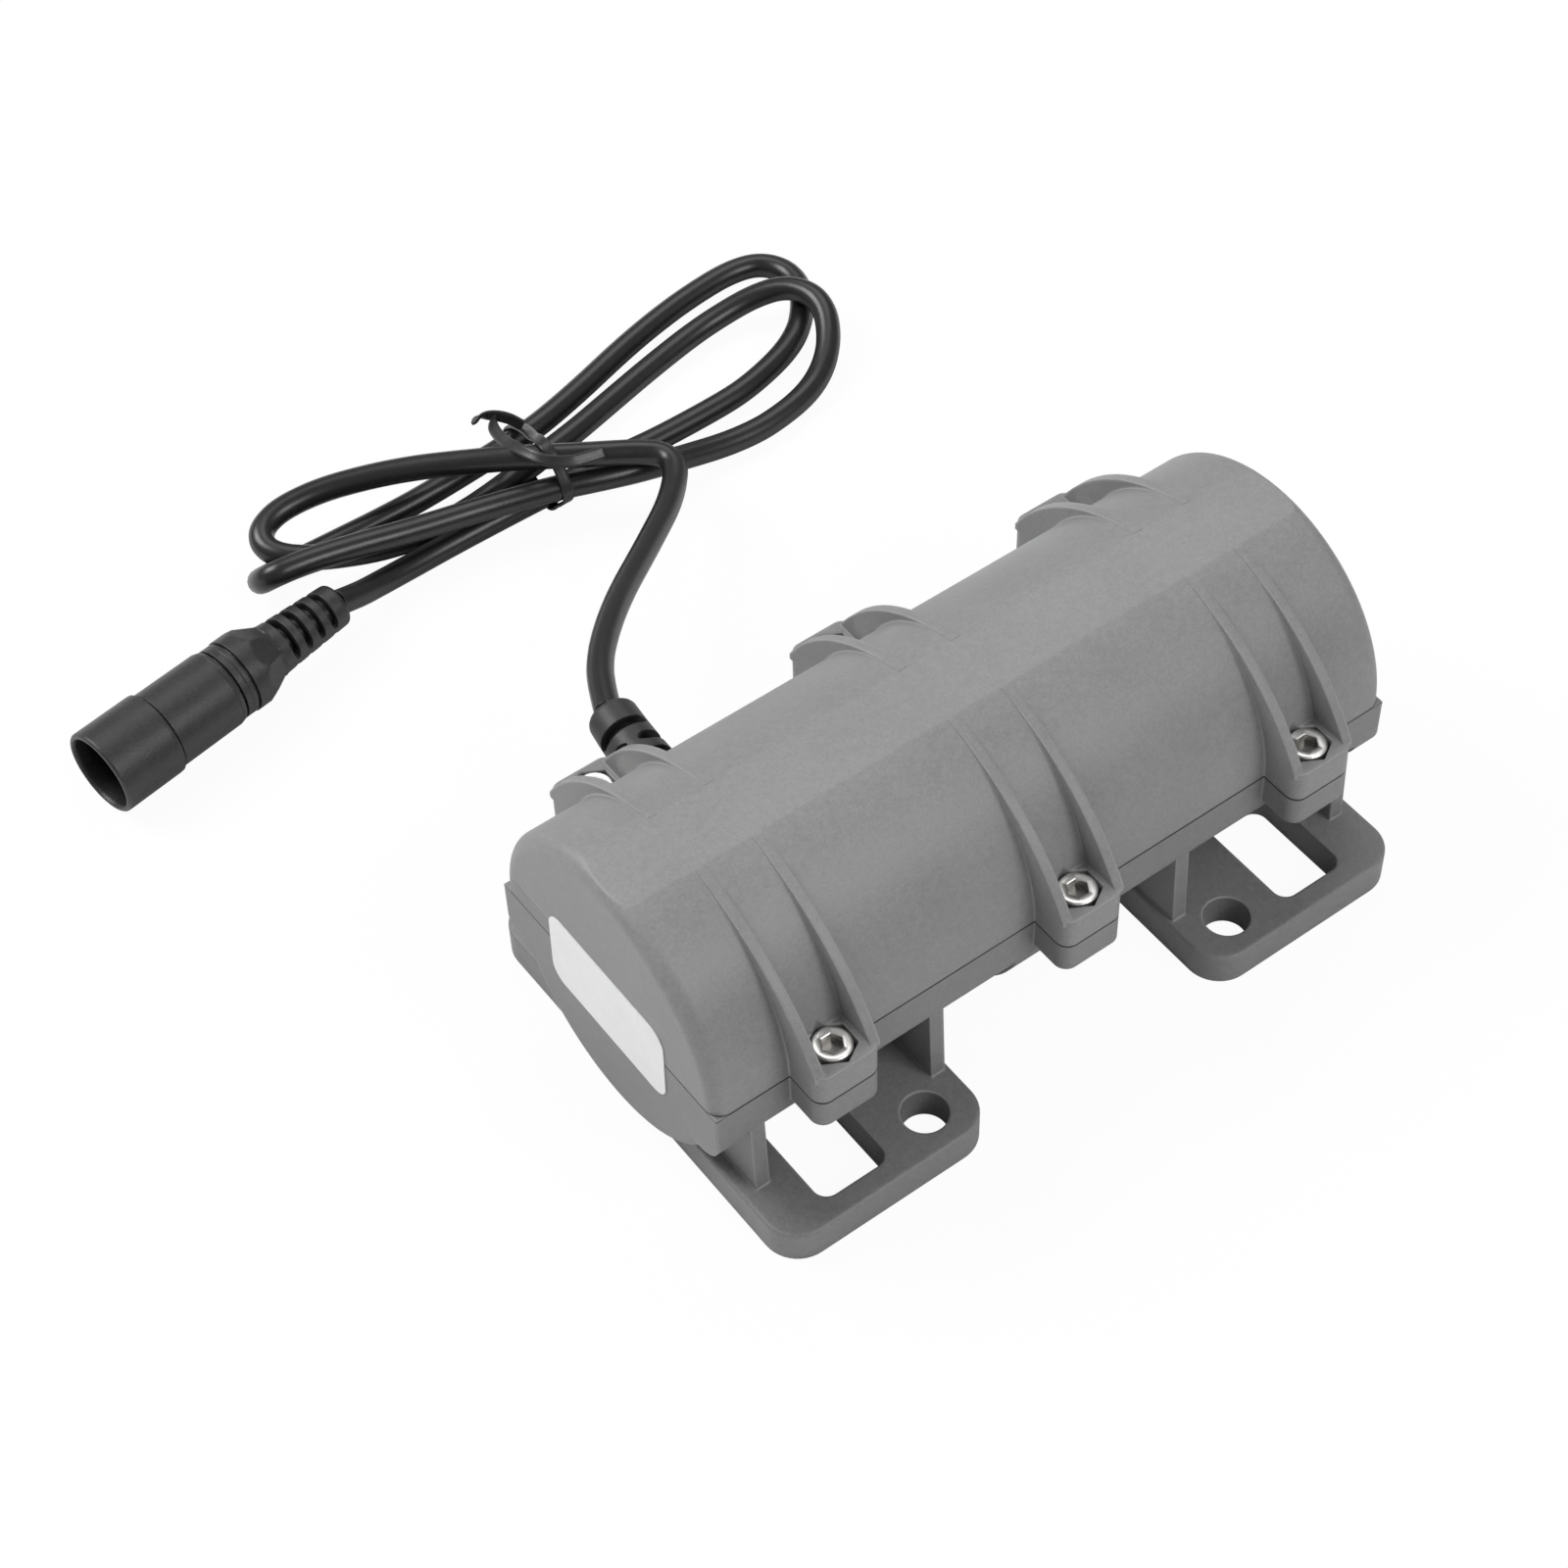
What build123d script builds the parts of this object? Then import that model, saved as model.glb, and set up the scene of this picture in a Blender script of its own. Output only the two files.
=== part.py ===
"""Vibration motor: a two-part moulded housing round a double-ended motor with
an eccentric weight on each shaft end, and a cord that ends in a round socket.

The origin is at the middle of the underside of the feet. +X runs along the
shaft, away from the label, +Y towards the cord side and +Z up. Millimetres.
"""
from build123d import *
import math
import os

# Motor
CAN_DIAMETER = 36.0
CAN_WALL = 1.5
MOTOR_LENGTH = 50.0
BELL_FLANGE = 3.0
BELL_SPIGOT = 3.0
BELL_LIP = 1.0
SPIGOT_CLEARANCE = 0.05
SHAFT_DIAMETER = 5.0
SHAFT_CHAMFER = 0.5
SHAFT_PROUD = 3.0
BEARING_OUTER_DIAMETER = 11.0
BEARING_WIDTH = 5.0
INNER_RING_WALL = 1.0
OUTER_RING_WALL = 0.9
BALL_DIAMETER = 1.6
BALL_COUNT = 7
BALL_CLEARANCE = 0.05
SHAFT_EXIT_GAP = 1.3
STATOR_END_GAP = 6.0
STATOR_YOKE = 3.0
TOOTH_COUNT = 6
TOOTH_WIDTH = 4.0
TOOTH_SHOE_WIDTH = 7.0
TOOTH_SHOE_DEPTH = 1.1
COIL_WALL = 2.0
COIL_CLEARANCE = 0.1
COIL_SHOE_GAP = 0.3
COIL_YOKE_GAP = 0.7
COIL_DEPTH = 2.5
MAGNET_THICKNESS = 2.3
MAGNET_COUNT = 4
MAGNET_GAP = 0.5
AIR_GAP = 0.6
SPACER_STEP = 0.1

# Driver board
BOARD_THICKNESS = 1.2
BOARD_BORE_GAP = 3.7
CHIP_COUNT = 6
CHIP_RADIUS = 11.0
CHIP_LENGTH = 4.6
CHIP_WIDTH = 3.6
CHIP_HEIGHT = 1.4

# Eccentric weights
WEIGHT_THICKNESS = 13.0
WEIGHT_RIM_GAP = 1.8
WEIGHT_INNER_GAP = 7.5
WEIGHT_OUTER_GAP = 4.3
WEIGHT_HUB_WALL = 4.0
SET_SCREW_DIAMETER = 3.0
SET_SCREW_RECESS = 0.5
SET_SCREW_SOCKET = 1.5
SET_SCREW_SOCKET_DEPTH = 1.75

# Housing
CHAMBER_GAP = 1.8
SHELL_WALL = 1.9
BODY_STEP = 1.3
BELLY_CLEARANCE = 1.5
FLAT_DEPTH = 0.5
END_WALL = 2.7
END_ROUND = 2.2
BAND_DEPTH = 6.3
FLANGE_LENGTH = 4.0
FLANGE_DEPTH = 10.0
FLANGE_ROUND = 4.2
TONGUE_HEIGHT = 3.8
MIDDLE_RING_STEP = 0.6
MIDDLE_RING_LENGTH = 14.0
CRADLE_X = 16.0
CRADLE_THICKNESS = 3.0
CRADLE_CLEARANCE = 0.05
BULKHEAD_THICKNESS = 2.0
BULKHEAD_LIP = 3.0

# Feet
BODY_OVERHANG = 3.0
FOOT_LENGTH = 32.9
FOOT_PROUD = 10.0
FOOT_THICKNESS = 5.2
FOOT_CORNER = 5.0
FOOT_EDGE = 0.5
FOOT_HOLE_DIAMETER = 6.4
FOOT_HOLE_END_INSET = 6.9
FOOT_HOLE_SIDE_INSET = 5.9
WINDOW_LENGTH = 10.7
WINDOW_WIDTH = 16.9
WINDOW_SIDE_INSET = 3.1
WINDOW_CORNER = 2.0
GUSSET_THICKNESS = 2.2
GUSSET_FOOT_STEP = 0.4
GUSSET_TOP_STEP = 0.2
GUSSET_OUTER_INSET = 2.0
GUSSET_INNER_INSET = 0.7

# Lugs, ribs and screws
END_LUG_INSET = 16.0
SCREW_OUTSET = 2.2
SCREW_EDGE = 3.8
LUG_WIDTH = 9.8
LUG_CORNER = 1.9
LUG_RISE = 5.1
LUG_DROP = 4.7
RIB_THICKNESS = 1.4
RIB_ROOT = 1.0
RIB_START_INSET = 0.7
RIB_REACH = 2.3
RIB_ANGLE = 35.5
RIB_END_Y = 5.0
SCREW_HEAD_DIAMETER = 4.5
SCREW_HEAD_HEIGHT = 2.5
SCREW_HEAD_CHAMFER = 0.25
SCREW_HEAD_SETBACK = 0.3
SCREW_DIAMETER = 2.5
SCREW_LENGTH = 6.0
SCREW_SOCKET = 2.0
SCREW_SOCKET_DEPTH = 1.2
SCREW_HOLE_CLEARANCE = 0.15
POCKET_CLEARANCE = 0.6
POCKET_RISE = 3.4
NUT_ACROSS_FLATS = 5.0
NUT_HEIGHT = 2.0
NUT_CLEARANCE = 0.1
NUT_ROOF = 1.9

# Seam seal
SEAL_WIDTH = 1.2
SEAL_DEPTH = 0.8
SEAL_INSET = 1.6
SEAL_CORNER = 2.0

# Cord and its strain relief
CORD_DIAMETER = 3.8
RELIEF_OFFSET = 2.5
RELIEF_WALL = 2.1
RELIEF_TAPER = 0.3
RELIEF_LENGTH = 16.1
RELIEF_SEAT_DEPTH = 0.6
RELIEF_NECK_STEP = 0.8
RELIEF_COLLAR_STEP = 0.7
RELIEF_COLLAR_LENGTH = 1.5
RELIEF_CLEARANCE = 0.05
RELIEF_SLOT_RINGS = 4
RELIEF_SLOT_PITCH = 3.5
RELIEF_SLOT_WIDTH = 1.7
RELIEF_SLOT_ARC = 130.0
RELIEF_SLOT_WALL = 0.6
PASSAGE_DEPTH = 8.8
WIRE_DIAMETER = 1.3
WIRE_SPACING = 1.7
WIRE_Y = 12.0
WIRE_BEND = 2.0
WIRE_HOLE_RADIUS = 2.2

# Hank of the coiled cord and its tie
HANK_BOTTOM = 0.3
HANK_THICKNESS = 7.7
HANK_LEFT = (-33.3, 110.0)
HANK_LEFT_RADIUS = 10.2
HANK_RIGHT = (42.0, 103.5)
HANK_RIGHT_RADIUS = 15.8
HANK_WAIST = (2.0, 100.5)
HANK_WAIST_RADIUS = 6.5
TIE_WIDTH = 3.0
TIE_THICKNESS = 0.3
TIE_SLACK = 0.9

# Round socket at the cord's end
JACK_ANGLE = 189.1
JACK_RELIEF_LENGTH = 12.5
JACK_RELIEF_TIP_WALL = 0.9
JACK_RELIEF_ROOT_WALL = 1.8
JACK_TAPER_LENGTH = 8.4
JACK_BODY_WALL = 1.6
JACK_BODY_LENGTH = 11.3
JACK_COLLAR_STEP = 0.7
JACK_COLLAR_LENGTH = 11.4
JACK_GROOVE_COUNT = 2
JACK_GROOVE_WIDTH = 0.6
JACK_GROOVE_DEPTH = 0.45
JACK_GROOVE_PITCH = 2.0
JACK_INSERT_WALL = 1.1
JACK_INSERT_SETBACK = 0.8
JACK_SEAT_DEPTH = 8.0
JACK_CORD_DEPTH = 10.0
JACK_BARREL_WALL = 0.3
JACK_MOUTH_RADIUS = 2.8
JACK_MOUTH_DEPTH = 10.0
JACK_PIN_RADIUS = 1.05
JACK_PIN_SETBACK = 1.6
JACK_SLOT_COUNT = 4
JACK_SLOT_WIDTH = 1.1
JACK_SLOT_PITCH = 2.7
JACK_SLOT_WALL = 0.3

# Label
LABEL_WIDTH = 24.6
LABEL_HEIGHT = 13.6
LABEL_THICKNESS = 0.15
LABEL_CORNER = 2.6
LABEL_DROP = 1.0
LABEL_TILT = -1.5

# Overlap that joins two solids of one piece, overrun of a cut, share of a run for its arc
EMBED = 0.5
OVERCUT = 1.0
RUN_SHARE = 0.45

# Worked-out sizes across the shaft
CAN_BORE = CAN_DIAMETER - 2 * CAN_WALL
SPIGOT_RADIUS = CAN_BORE / 2 - SPIGOT_CLEARANCE
SHAFT_RADIUS = SHAFT_DIAMETER / 2
INNER_RING_RADIUS = SHAFT_RADIUS + INNER_RING_WALL
OUTER_RING_RADIUS = BEARING_OUTER_DIAMETER / 2 - OUTER_RING_WALL
BALL_PITCH_RADIUS = (INNER_RING_RADIUS + OUTER_RING_RADIUS) / 2
SHAFT_EXIT_RADIUS = SHAFT_RADIUS + SHAFT_EXIT_GAP
STATOR_YOKE_RADIUS = CAN_BORE / 2 - STATOR_YOKE
COIL_OUTER_RADIUS = STATOR_YOKE_RADIUS - COIL_YOKE_GAP
COIL_INNER_RADIUS = COIL_OUTER_RADIUS - COIL_DEPTH
TOOTH_TIP_RADIUS = COIL_INNER_RADIUS - COIL_SHOE_GAP - TOOTH_SHOE_DEPTH
MAGNET_RADIUS = TOOTH_TIP_RADIUS - AIR_GAP
ROTOR_CORE_RADIUS = MAGNET_RADIUS - MAGNET_THICKNESS
SPACER_RADIUS = INNER_RING_RADIUS - SPACER_STEP
BOARD_BORE_RADIUS = SHAFT_RADIUS + BOARD_BORE_GAP
CHAMBER_RADIUS = CAN_DIAMETER / 2 + CHAMBER_GAP
UNDERSIDE_RADIUS = CHAMBER_RADIUS + SHELL_WALL
BODY_RADIUS = UNDERSIDE_RADIUS + BODY_STEP
WEIGHT_RADIUS = CHAMBER_RADIUS - WEIGHT_RIM_GAP
WEIGHT_HUB_RADIUS = SHAFT_RADIUS + WEIGHT_HUB_WALL
BULKHEAD_BORE_RADIUS = CAN_DIAMETER / 2 - BULKHEAD_LIP
MIDDLE_RING_RADIUS = BODY_RADIUS + MIDDLE_RING_STEP

# Worked-out heights
SEAM_HEIGHT = BODY_RADIUS + BELLY_CLEARANCE
TOTAL_HEIGHT = SEAM_HEIGHT + BODY_RADIUS - FLAT_DEPTH
LUG_TOP = SEAM_HEIGHT + LUG_RISE
LUG_BOTTOM = SEAM_HEIGHT - LUG_DROP
SCREW_TOP = LUG_TOP - SCREW_HEAD_SETBACK
POCKET_TOP = LUG_TOP + POCKET_RISE
NUT_TOP = SEAM_HEIGHT - NUT_ROOF
LABEL_CENTRE_Z = SEAM_HEIGHT - LABEL_DROP

# Worked-out places along the shaft
BELL_INNER_X = MOTOR_LENGTH / 2 - BELL_FLANGE - BELL_SPIGOT
CAN_LENGTH = MOTOR_LENGTH - 2 * BELL_FLANGE
STATOR_LENGTH = 2 * (BELL_INNER_X - STATOR_END_GAP)
BOARD_FACE_X = -BELL_INNER_X + BOARD_THICKNESS
WEIGHT_INNER_X = MOTOR_LENGTH / 2 + BULKHEAD_THICKNESS + WEIGHT_INNER_GAP
WEIGHT_OUTER_X = WEIGHT_INNER_X + WEIGHT_THICKNESS
WEIGHT_MIDDLE_X = WEIGHT_INNER_X + WEIGHT_THICKNESS / 2
SHAFT_LENGTH = 2 * (WEIGHT_OUTER_X + SHAFT_PROUD)
CHAMBER_LENGTH = 2 * (WEIGHT_OUTER_X + WEIGHT_OUTER_GAP)
BODY_LENGTH = CHAMBER_LENGTH + 2 * END_WALL
FOOT_SPAN = BODY_LENGTH - 2 * BODY_OVERHANG
FOOT_CENTRE_X = FOOT_SPAN / 2 - FOOT_LENGTH / 2
FOOT_INNER_X = FOOT_SPAN / 2 - FOOT_LENGTH
SCREW_PITCH_X = BODY_LENGTH / 2 - END_LUG_INSET
RELIEF_X = -MOTOR_LENGTH / 2 - RELIEF_OFFSET

# Worked-out places across the housing
SCREW_HALF_Y = BODY_RADIUS + SCREW_OUTSET
LUG_HALF_Y = SCREW_HALF_Y + SCREW_EDGE
RIB_START_Y = LUG_HALF_Y - RIB_START_INSET
FOOT_WIDTH = 2 * (BODY_RADIUS + FOOT_PROUD)
FOOT_HOLE_PITCH_X = 2 * (FOOT_INNER_X + FOOT_HOLE_END_INSET)
FOOT_HOLE_PITCH_Y = FOOT_WIDTH - 2 * FOOT_HOLE_SIDE_INSET
WINDOW_CENTRE_Y = FOOT_WIDTH / 2 - WINDOW_SIDE_INSET - WINDOW_WIDTH / 2
GUSSET_FOOT_HALF = BODY_RADIUS + GUSSET_FOOT_STEP
GUSSET_TOP_HALF = BODY_RADIUS - GUSSET_TOP_STEP
RELIEF_RADIUS = CORD_DIAMETER / 2 + RELIEF_WALL
RELIEF_SHOULDER_Y = BODY_RADIUS - RELIEF_SEAT_DEPTH
RELIEF_TIP_Y = RELIEF_SHOULDER_Y + RELIEF_LENGTH
RELIEF_TIP_RADIUS = RELIEF_RADIUS - RELIEF_TAPER
RELIEF_NECK_RADIUS = RELIEF_RADIUS - RELIEF_NECK_STEP
RELIEF_COLLAR_RADIUS = RELIEF_RADIUS + RELIEF_COLLAR_STEP
RELIEF_SLOT_FLOOR = CORD_DIAMETER / 2 + RELIEF_SLOT_WALL
CORD_BORE_RADIUS = CORD_DIAMETER / 2 + RELIEF_CLEARANCE
COLLAR_START_Y = CHAMBER_RADIUS - RELIEF_COLLAR_LENGTH

# Worked-out holes for the screws
POCKET_ACROSS_FLATS = SCREW_HEAD_DIAMETER + 2 * POCKET_CLEARANCE
SCREW_HOLE_RADIUS = SCREW_DIAMETER / 2 + SCREW_HOLE_CLEARANCE
NUT_HOLE_ACROSS_FLATS = NUT_ACROSS_FLATS + 2 * NUT_CLEARANCE
LUG_PLACES = (-SCREW_PITCH_X, 0.0, SCREW_PITCH_X)
SCREW_PLACES = [(x, side * SCREW_HALF_Y) for x in LUG_PLACES for side in (-1, 1)]

# Worked-out sizes of the round socket
JACK_RELIEF_TIP_RADIUS = CORD_DIAMETER / 2 + JACK_RELIEF_TIP_WALL
JACK_RELIEF_ROOT_RADIUS = CORD_DIAMETER / 2 + JACK_RELIEF_ROOT_WALL
JACK_SLOT_FLOOR = CORD_DIAMETER / 2 + JACK_SLOT_WALL
JACK_BARREL_RADIUS = JACK_MOUTH_RADIUS + JACK_BARREL_WALL
JACK_INSERT_RADIUS = JACK_BARREL_RADIUS + JACK_INSERT_WALL
JACK_BODY_RADIUS = JACK_INSERT_RADIUS + JACK_BODY_WALL
JACK_COLLAR_RADIUS = JACK_BODY_RADIUS + JACK_COLLAR_STEP
JACK_BODY_START = JACK_RELIEF_LENGTH + JACK_TAPER_LENGTH
JACK_BODY_END = JACK_BODY_START + JACK_BODY_LENGTH
JACK_LENGTH = JACK_BODY_END + JACK_COLLAR_LENGTH
JACK_INSERT_END = JACK_LENGTH - JACK_INSERT_SETBACK
JACK_INSERT_START = JACK_BODY_END - JACK_SEAT_DEPTH
JACK_MOUTH_FLOOR = JACK_INSERT_END - JACK_MOUTH_DEPTH
JACK_PIN_END = JACK_INSERT_END - JACK_PIN_SETBACK

# Cord routes outside the housing
CORD_IN_POINTS = [
    (RELIEF_X, RELIEF_TIP_Y, SEAM_HEIGHT),
    (-26.2, 46.0, 24.0),
    (-17.5, 55.5, 20.5),
    (-5.5, 66.5, 14.0),
    (6.5, 77.0, 8.3),
    (14.5, 84.0, 5.8),
    (18.8, 91.9, 4.7),
]
CORD_OUT_POINTS = [
    (-38.7, 92.7, 6.5),
    (-33.2, 93.6, 5.9),
    (-25.5, 94.7, 3.7),
    (-18.0, 95.0, 2.4),
    (-11.8, 95.8, 2.3),
]


def save(part, name):
    """Label a finished piece and write it to its own STEP file."""
    part.label = name
    export_step(part, "parts/" + name + ".step")


def along_x(x_start):
    """Plane across the shaft at x_start, centred on the shaft line."""
    return Plane(origin=(x_start, 0, SEAM_HEIGHT), x_dir=(0, 1, 0), z_dir=(1, 0, 0))


def bar_along_x(x_start, length, radius):
    """Solid round bar on the shaft line from x_start to x_start + length."""
    with BuildPart() as bar:
        with BuildSketch(along_x(x_start)):
            Circle(radius)
        extrude(amount=length)
    return bar.part


def tube_along_x(x_start, length, outer_radius, inner_radius):
    """Round tube on the shaft line from x_start to x_start + length."""
    with BuildPart() as tube:
        with BuildSketch(along_x(x_start)):
            Circle(outer_radius)
            Circle(inner_radius, mode=Mode.SUBTRACT)
        extrude(amount=length)
    return tube.part


def cylinder_along_y(y_start, length, radius):
    """Solid round bar along +Y on the line of the strain relief."""
    with BuildPart() as bar:
        start_plane = Plane(origin=(RELIEF_X, y_start, SEAM_HEIGHT), x_dir=(1, 0, 0), z_dir=(0, 1, 0))
        with BuildSketch(start_plane):
            Circle(radius)
        extrude(amount=length)
    return bar.part


def relief_passage():
    """Room that the strain relief and the two wires need in the housing."""
    collar_seat = RELIEF_COLLAR_RADIUS + RELIEF_CLEARANCE
    neck_hole = RELIEF_NECK_RADIUS + RELIEF_CLEARANCE
    shoulder_seat = RELIEF_RADIUS + RELIEF_CLEARANCE
    with BuildPart() as passage:
        add(cylinder_along_y(CHAMBER_RADIUS - PASSAGE_DEPTH, PASSAGE_DEPTH, collar_seat))
        add(cylinder_along_y(CHAMBER_RADIUS, RELIEF_SHOULDER_Y - CHAMBER_RADIUS, neck_hole))
        add(cylinder_along_y(RELIEF_SHOULDER_Y, RELIEF_SEAT_DEPTH + OVERCUT, shoulder_seat))
    return passage.part


def motor_supports(above):
    """Bulkheads at the motor's ends and cradle ribs under or over its can."""
    half = MOTOR_LENGTH / 2
    with BuildPart() as supports:
        for x in (-half - BULKHEAD_THICKNESS, half):
            add(tube_along_x(x, BULKHEAD_THICKNESS, CHAMBER_RADIUS + EMBED, BULKHEAD_BORE_RADIUS))
        for x in (-CRADLE_X, CRADLE_X):
            inner = CAN_DIAMETER / 2 + CRADLE_CLEARANCE
            add(tube_along_x(x - CRADLE_THICKNESS / 2, CRADLE_THICKNESS, CHAMBER_RADIUS + EMBED, inner))
        keep = Keep.TOP if above else Keep.BOTTOM
        split(bisect_by=Plane.XY.offset(SEAM_HEIGHT), keep=keep)
    return supports.part


def lug_blocks(bottom, height):
    """Blocks that reach across the housing and carry a screw at each end."""
    with BuildPart() as lugs:
        with BuildSketch(Plane.XY.offset(bottom)):
            with Locations(*[(x, 0) for x in LUG_PLACES]):
                RectangleRounded(LUG_WIDTH, 2 * LUG_HALF_Y, LUG_CORNER)
        extrude(amount=height)
    return lugs.part


def rib_profile(side):
    """Crescent from a lug's outer corner up to the flat strip, on one side."""
    low_y = side * RIB_START_Y
    high_y = side * RIB_END_Y
    root_z = LUG_TOP - RIB_ROOT
    reach = BODY_RADIUS + RIB_REACH
    angle = math.radians(RIB_ANGLE)
    middle = (side * reach * math.cos(angle), SEAM_HEIGHT + reach * math.sin(angle))
    with BuildSketch() as profile:
        with BuildLine():
            ThreePointArc((low_y, LUG_TOP), middle, (high_y, TOTAL_HEIGHT))
            Line((high_y, TOTAL_HEIGHT), (high_y, root_z))
            Line((high_y, root_z), (low_y, root_z))
            Line((low_y, root_z), (low_y, LUG_TOP))
        make_face()
    return profile.sketch


def crescent_ribs():
    """The twelve ribs that run up from both sides of each lug."""
    offset_x = LUG_WIDTH / 2 - RIB_THICKNESS
    with BuildPart() as ribs:
        for side in (-1, 1):
            for lug_x in LUG_PLACES:
                for x in (lug_x - LUG_WIDTH / 2, lug_x + offset_x):
                    with BuildSketch(Plane.YZ.offset(x)):
                        add(rib_profile(side))
                    extrude(amount=RIB_THICKNESS)
    return ribs.part


def hex_prisms(places, bottom, height, across_flats):
    """Hexagonal prisms with corners towards -Y and +Y."""
    radius = across_flats / math.sqrt(3)
    with BuildPart() as prisms:
        with BuildSketch(Plane.XY.offset(bottom)):
            with Locations(*places):
                RegularPolygon(radius, 6, rotation=90)
        extrude(amount=height)
    return prisms.part


def round_bars(places, bottom, height, radius):
    """Upright round bars at the given places."""
    with BuildPart() as bars:
        with BuildSketch(Plane.XY.offset(bottom)):
            with Locations(*places):
                Circle(radius)
        extrude(amount=height)
    return bars.part


def round_body(radius, end_round):
    """Solid round bar of the housing's length with rounded end edges."""
    with BuildPart() as body:
        with BuildSketch(Plane(origin=(0, 0, SEAM_HEIGHT), x_dir=(1, 0, 0), z_dir=(0, -1, 0))) as half:
            Rectangle(BODY_LENGTH, radius, align=(Align.CENTER, Align.MIN))
            fillet(half.vertices().group_by(Axis.Y)[-1], end_round)
        revolve(axis=Axis((0, 0, SEAM_HEIGHT), (1, 0, 0)))
    return body.part


def locating_tongue():
    """Raised step of the lower end wall, on the cord side of the label."""
    flush = (Align.MIN, Align.MIN, Align.MIN)
    with BuildPart() as tongue:
        add(round_body(BODY_RADIUS, END_ROUND))
        with Locations((-BODY_LENGTH / 2, 0, SEAM_HEIGHT)):
            Box(END_WALL, BODY_RADIUS, TONGUE_HEIGHT, align=flush, mode=Mode.INTERSECT)
    return tongue.part


def make_upper_shell():
    """Upper half: round shell with a flat strip, lugs, ribs and pockets."""
    with BuildPart() as upper_shell:
        add(round_body(BODY_RADIUS, END_ROUND))
        split(bisect_by=Plane.XY.offset(SEAM_HEIGHT), keep=Keep.TOP)
        split(bisect_by=Plane.XY.offset(TOTAL_HEIGHT), keep=Keep.BOTTOM)
        add(lug_blocks(SEAM_HEIGHT, LUG_TOP - SEAM_HEIGHT))
        add(crescent_ribs())
        add(bar_along_x(-CHAMBER_LENGTH / 2, CHAMBER_LENGTH, CHAMBER_RADIUS), mode=Mode.SUBTRACT)
        pocket_floor = SCREW_TOP - SCREW_HEAD_HEIGHT
        pocket_height = POCKET_TOP - pocket_floor
        pockets = hex_prisms(SCREW_PLACES, pocket_floor, pocket_height, POCKET_ACROSS_FLATS)
        add(pockets, mode=Mode.SUBTRACT)
        hole_length = pocket_floor - SEAM_HEIGHT
        add(round_bars(SCREW_PLACES, SEAM_HEIGHT, hole_length, SCREW_HOLE_RADIUS), mode=Mode.SUBTRACT)
        add(motor_supports(above=True))
        add(relief_passage(), mode=Mode.SUBTRACT)
        add(locating_tongue(), mode=Mode.SUBTRACT)
    return upper_shell.part


def shell_underside():
    """Outer form of the lower half without feet: trough, band and end flanges."""
    flange_places = (-BODY_LENGTH / 2, BODY_LENGTH / 2 - FLANGE_LENGTH)
    with BuildPart() as trough:
        add(round_body(UNDERSIDE_RADIUS, END_ROUND))
        split(bisect_by=Plane.XY.offset(SEAM_HEIGHT), keep=Keep.BOTTOM)
        with BuildSketch(along_x(-BODY_LENGTH / 2)):
            Rectangle(2 * BODY_RADIUS, BAND_DEPTH, align=(Align.CENTER, Align.MAX))
        extrude(amount=BODY_LENGTH)
        for x in flange_places:
            with BuildSketch(along_x(x)) as flange:
                Rectangle(2 * BODY_RADIUS, FLANGE_DEPTH, align=(Align.CENTER, Align.MAX))
                fillet(flange.vertices().group_by(Axis.Y)[0], FLANGE_ROUND)
            extrude(amount=FLANGE_LENGTH)
        with BuildSketch(along_x(-MIDDLE_RING_LENGTH / 2)):
            Circle(MIDDLE_RING_RADIUS)
            lower_half = (Align.CENTER, Align.MAX)
            Rectangle(2 * BODY_RADIUS, 2 * BODY_RADIUS, align=lower_half, mode=Mode.INTERSECT)
        extrude(amount=MIDDLE_RING_LENGTH)
    return trough.part


def foot_plates():
    """The two plates that the housing stands on, with their windows."""
    with BuildPart() as plates:
        with BuildSketch():
            with Locations((-FOOT_CENTRE_X, 0), (FOOT_CENTRE_X, 0)):
                RectangleRounded(FOOT_LENGTH, FOOT_WIDTH, FOOT_CORNER)
            with GridLocations(2 * SCREW_PITCH_X, 2 * WINDOW_CENTRE_Y, 2, 2):
                RectangleRounded(WINDOW_LENGTH, WINDOW_WIDTH, WINDOW_CORNER, mode=Mode.SUBTRACT)
            with GridLocations(FOOT_HOLE_PITCH_X, FOOT_HOLE_PITCH_Y, 2, 2):
                Circle(FOOT_HOLE_DIAMETER / 2, mode=Mode.SUBTRACT)
        extrude(amount=FOOT_THICKNESS)
        top_face = plates.faces().filter_by(Axis.Z).group_by(Axis.Z)[-1]
        outer_edges = [face.outer_wire().edges() for face in top_face]
        for edges in outer_edges:
            fillet(edges, FOOT_EDGE)
    return plates.part


def gussets():
    """Upright cross walls between the feet and the trough."""
    outer_x = FOOT_SPAN / 2 - GUSSET_OUTER_INSET
    inner_x = FOOT_INNER_X + GUSSET_INNER_INSET + GUSSET_THICKNESS
    bottom = FOOT_THICKNESS - EMBED
    top = SEAM_HEIGHT - BAND_DEPTH + EMBED
    with BuildPart() as walls:
        for x in (-outer_x, outer_x - GUSSET_THICKNESS, -inner_x, inner_x - GUSSET_THICKNESS):
            with BuildSketch(Plane.YZ.offset(x)):
                with BuildLine():
                    Polyline(
                        (-GUSSET_FOOT_HALF, bottom),
                        (GUSSET_FOOT_HALF, bottom),
                        (GUSSET_TOP_HALF, top),
                        (-GUSSET_TOP_HALF, top),
                        close=True,
                    )
                make_face()
            extrude(amount=GUSSET_THICKNESS)
    return walls.part


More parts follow.
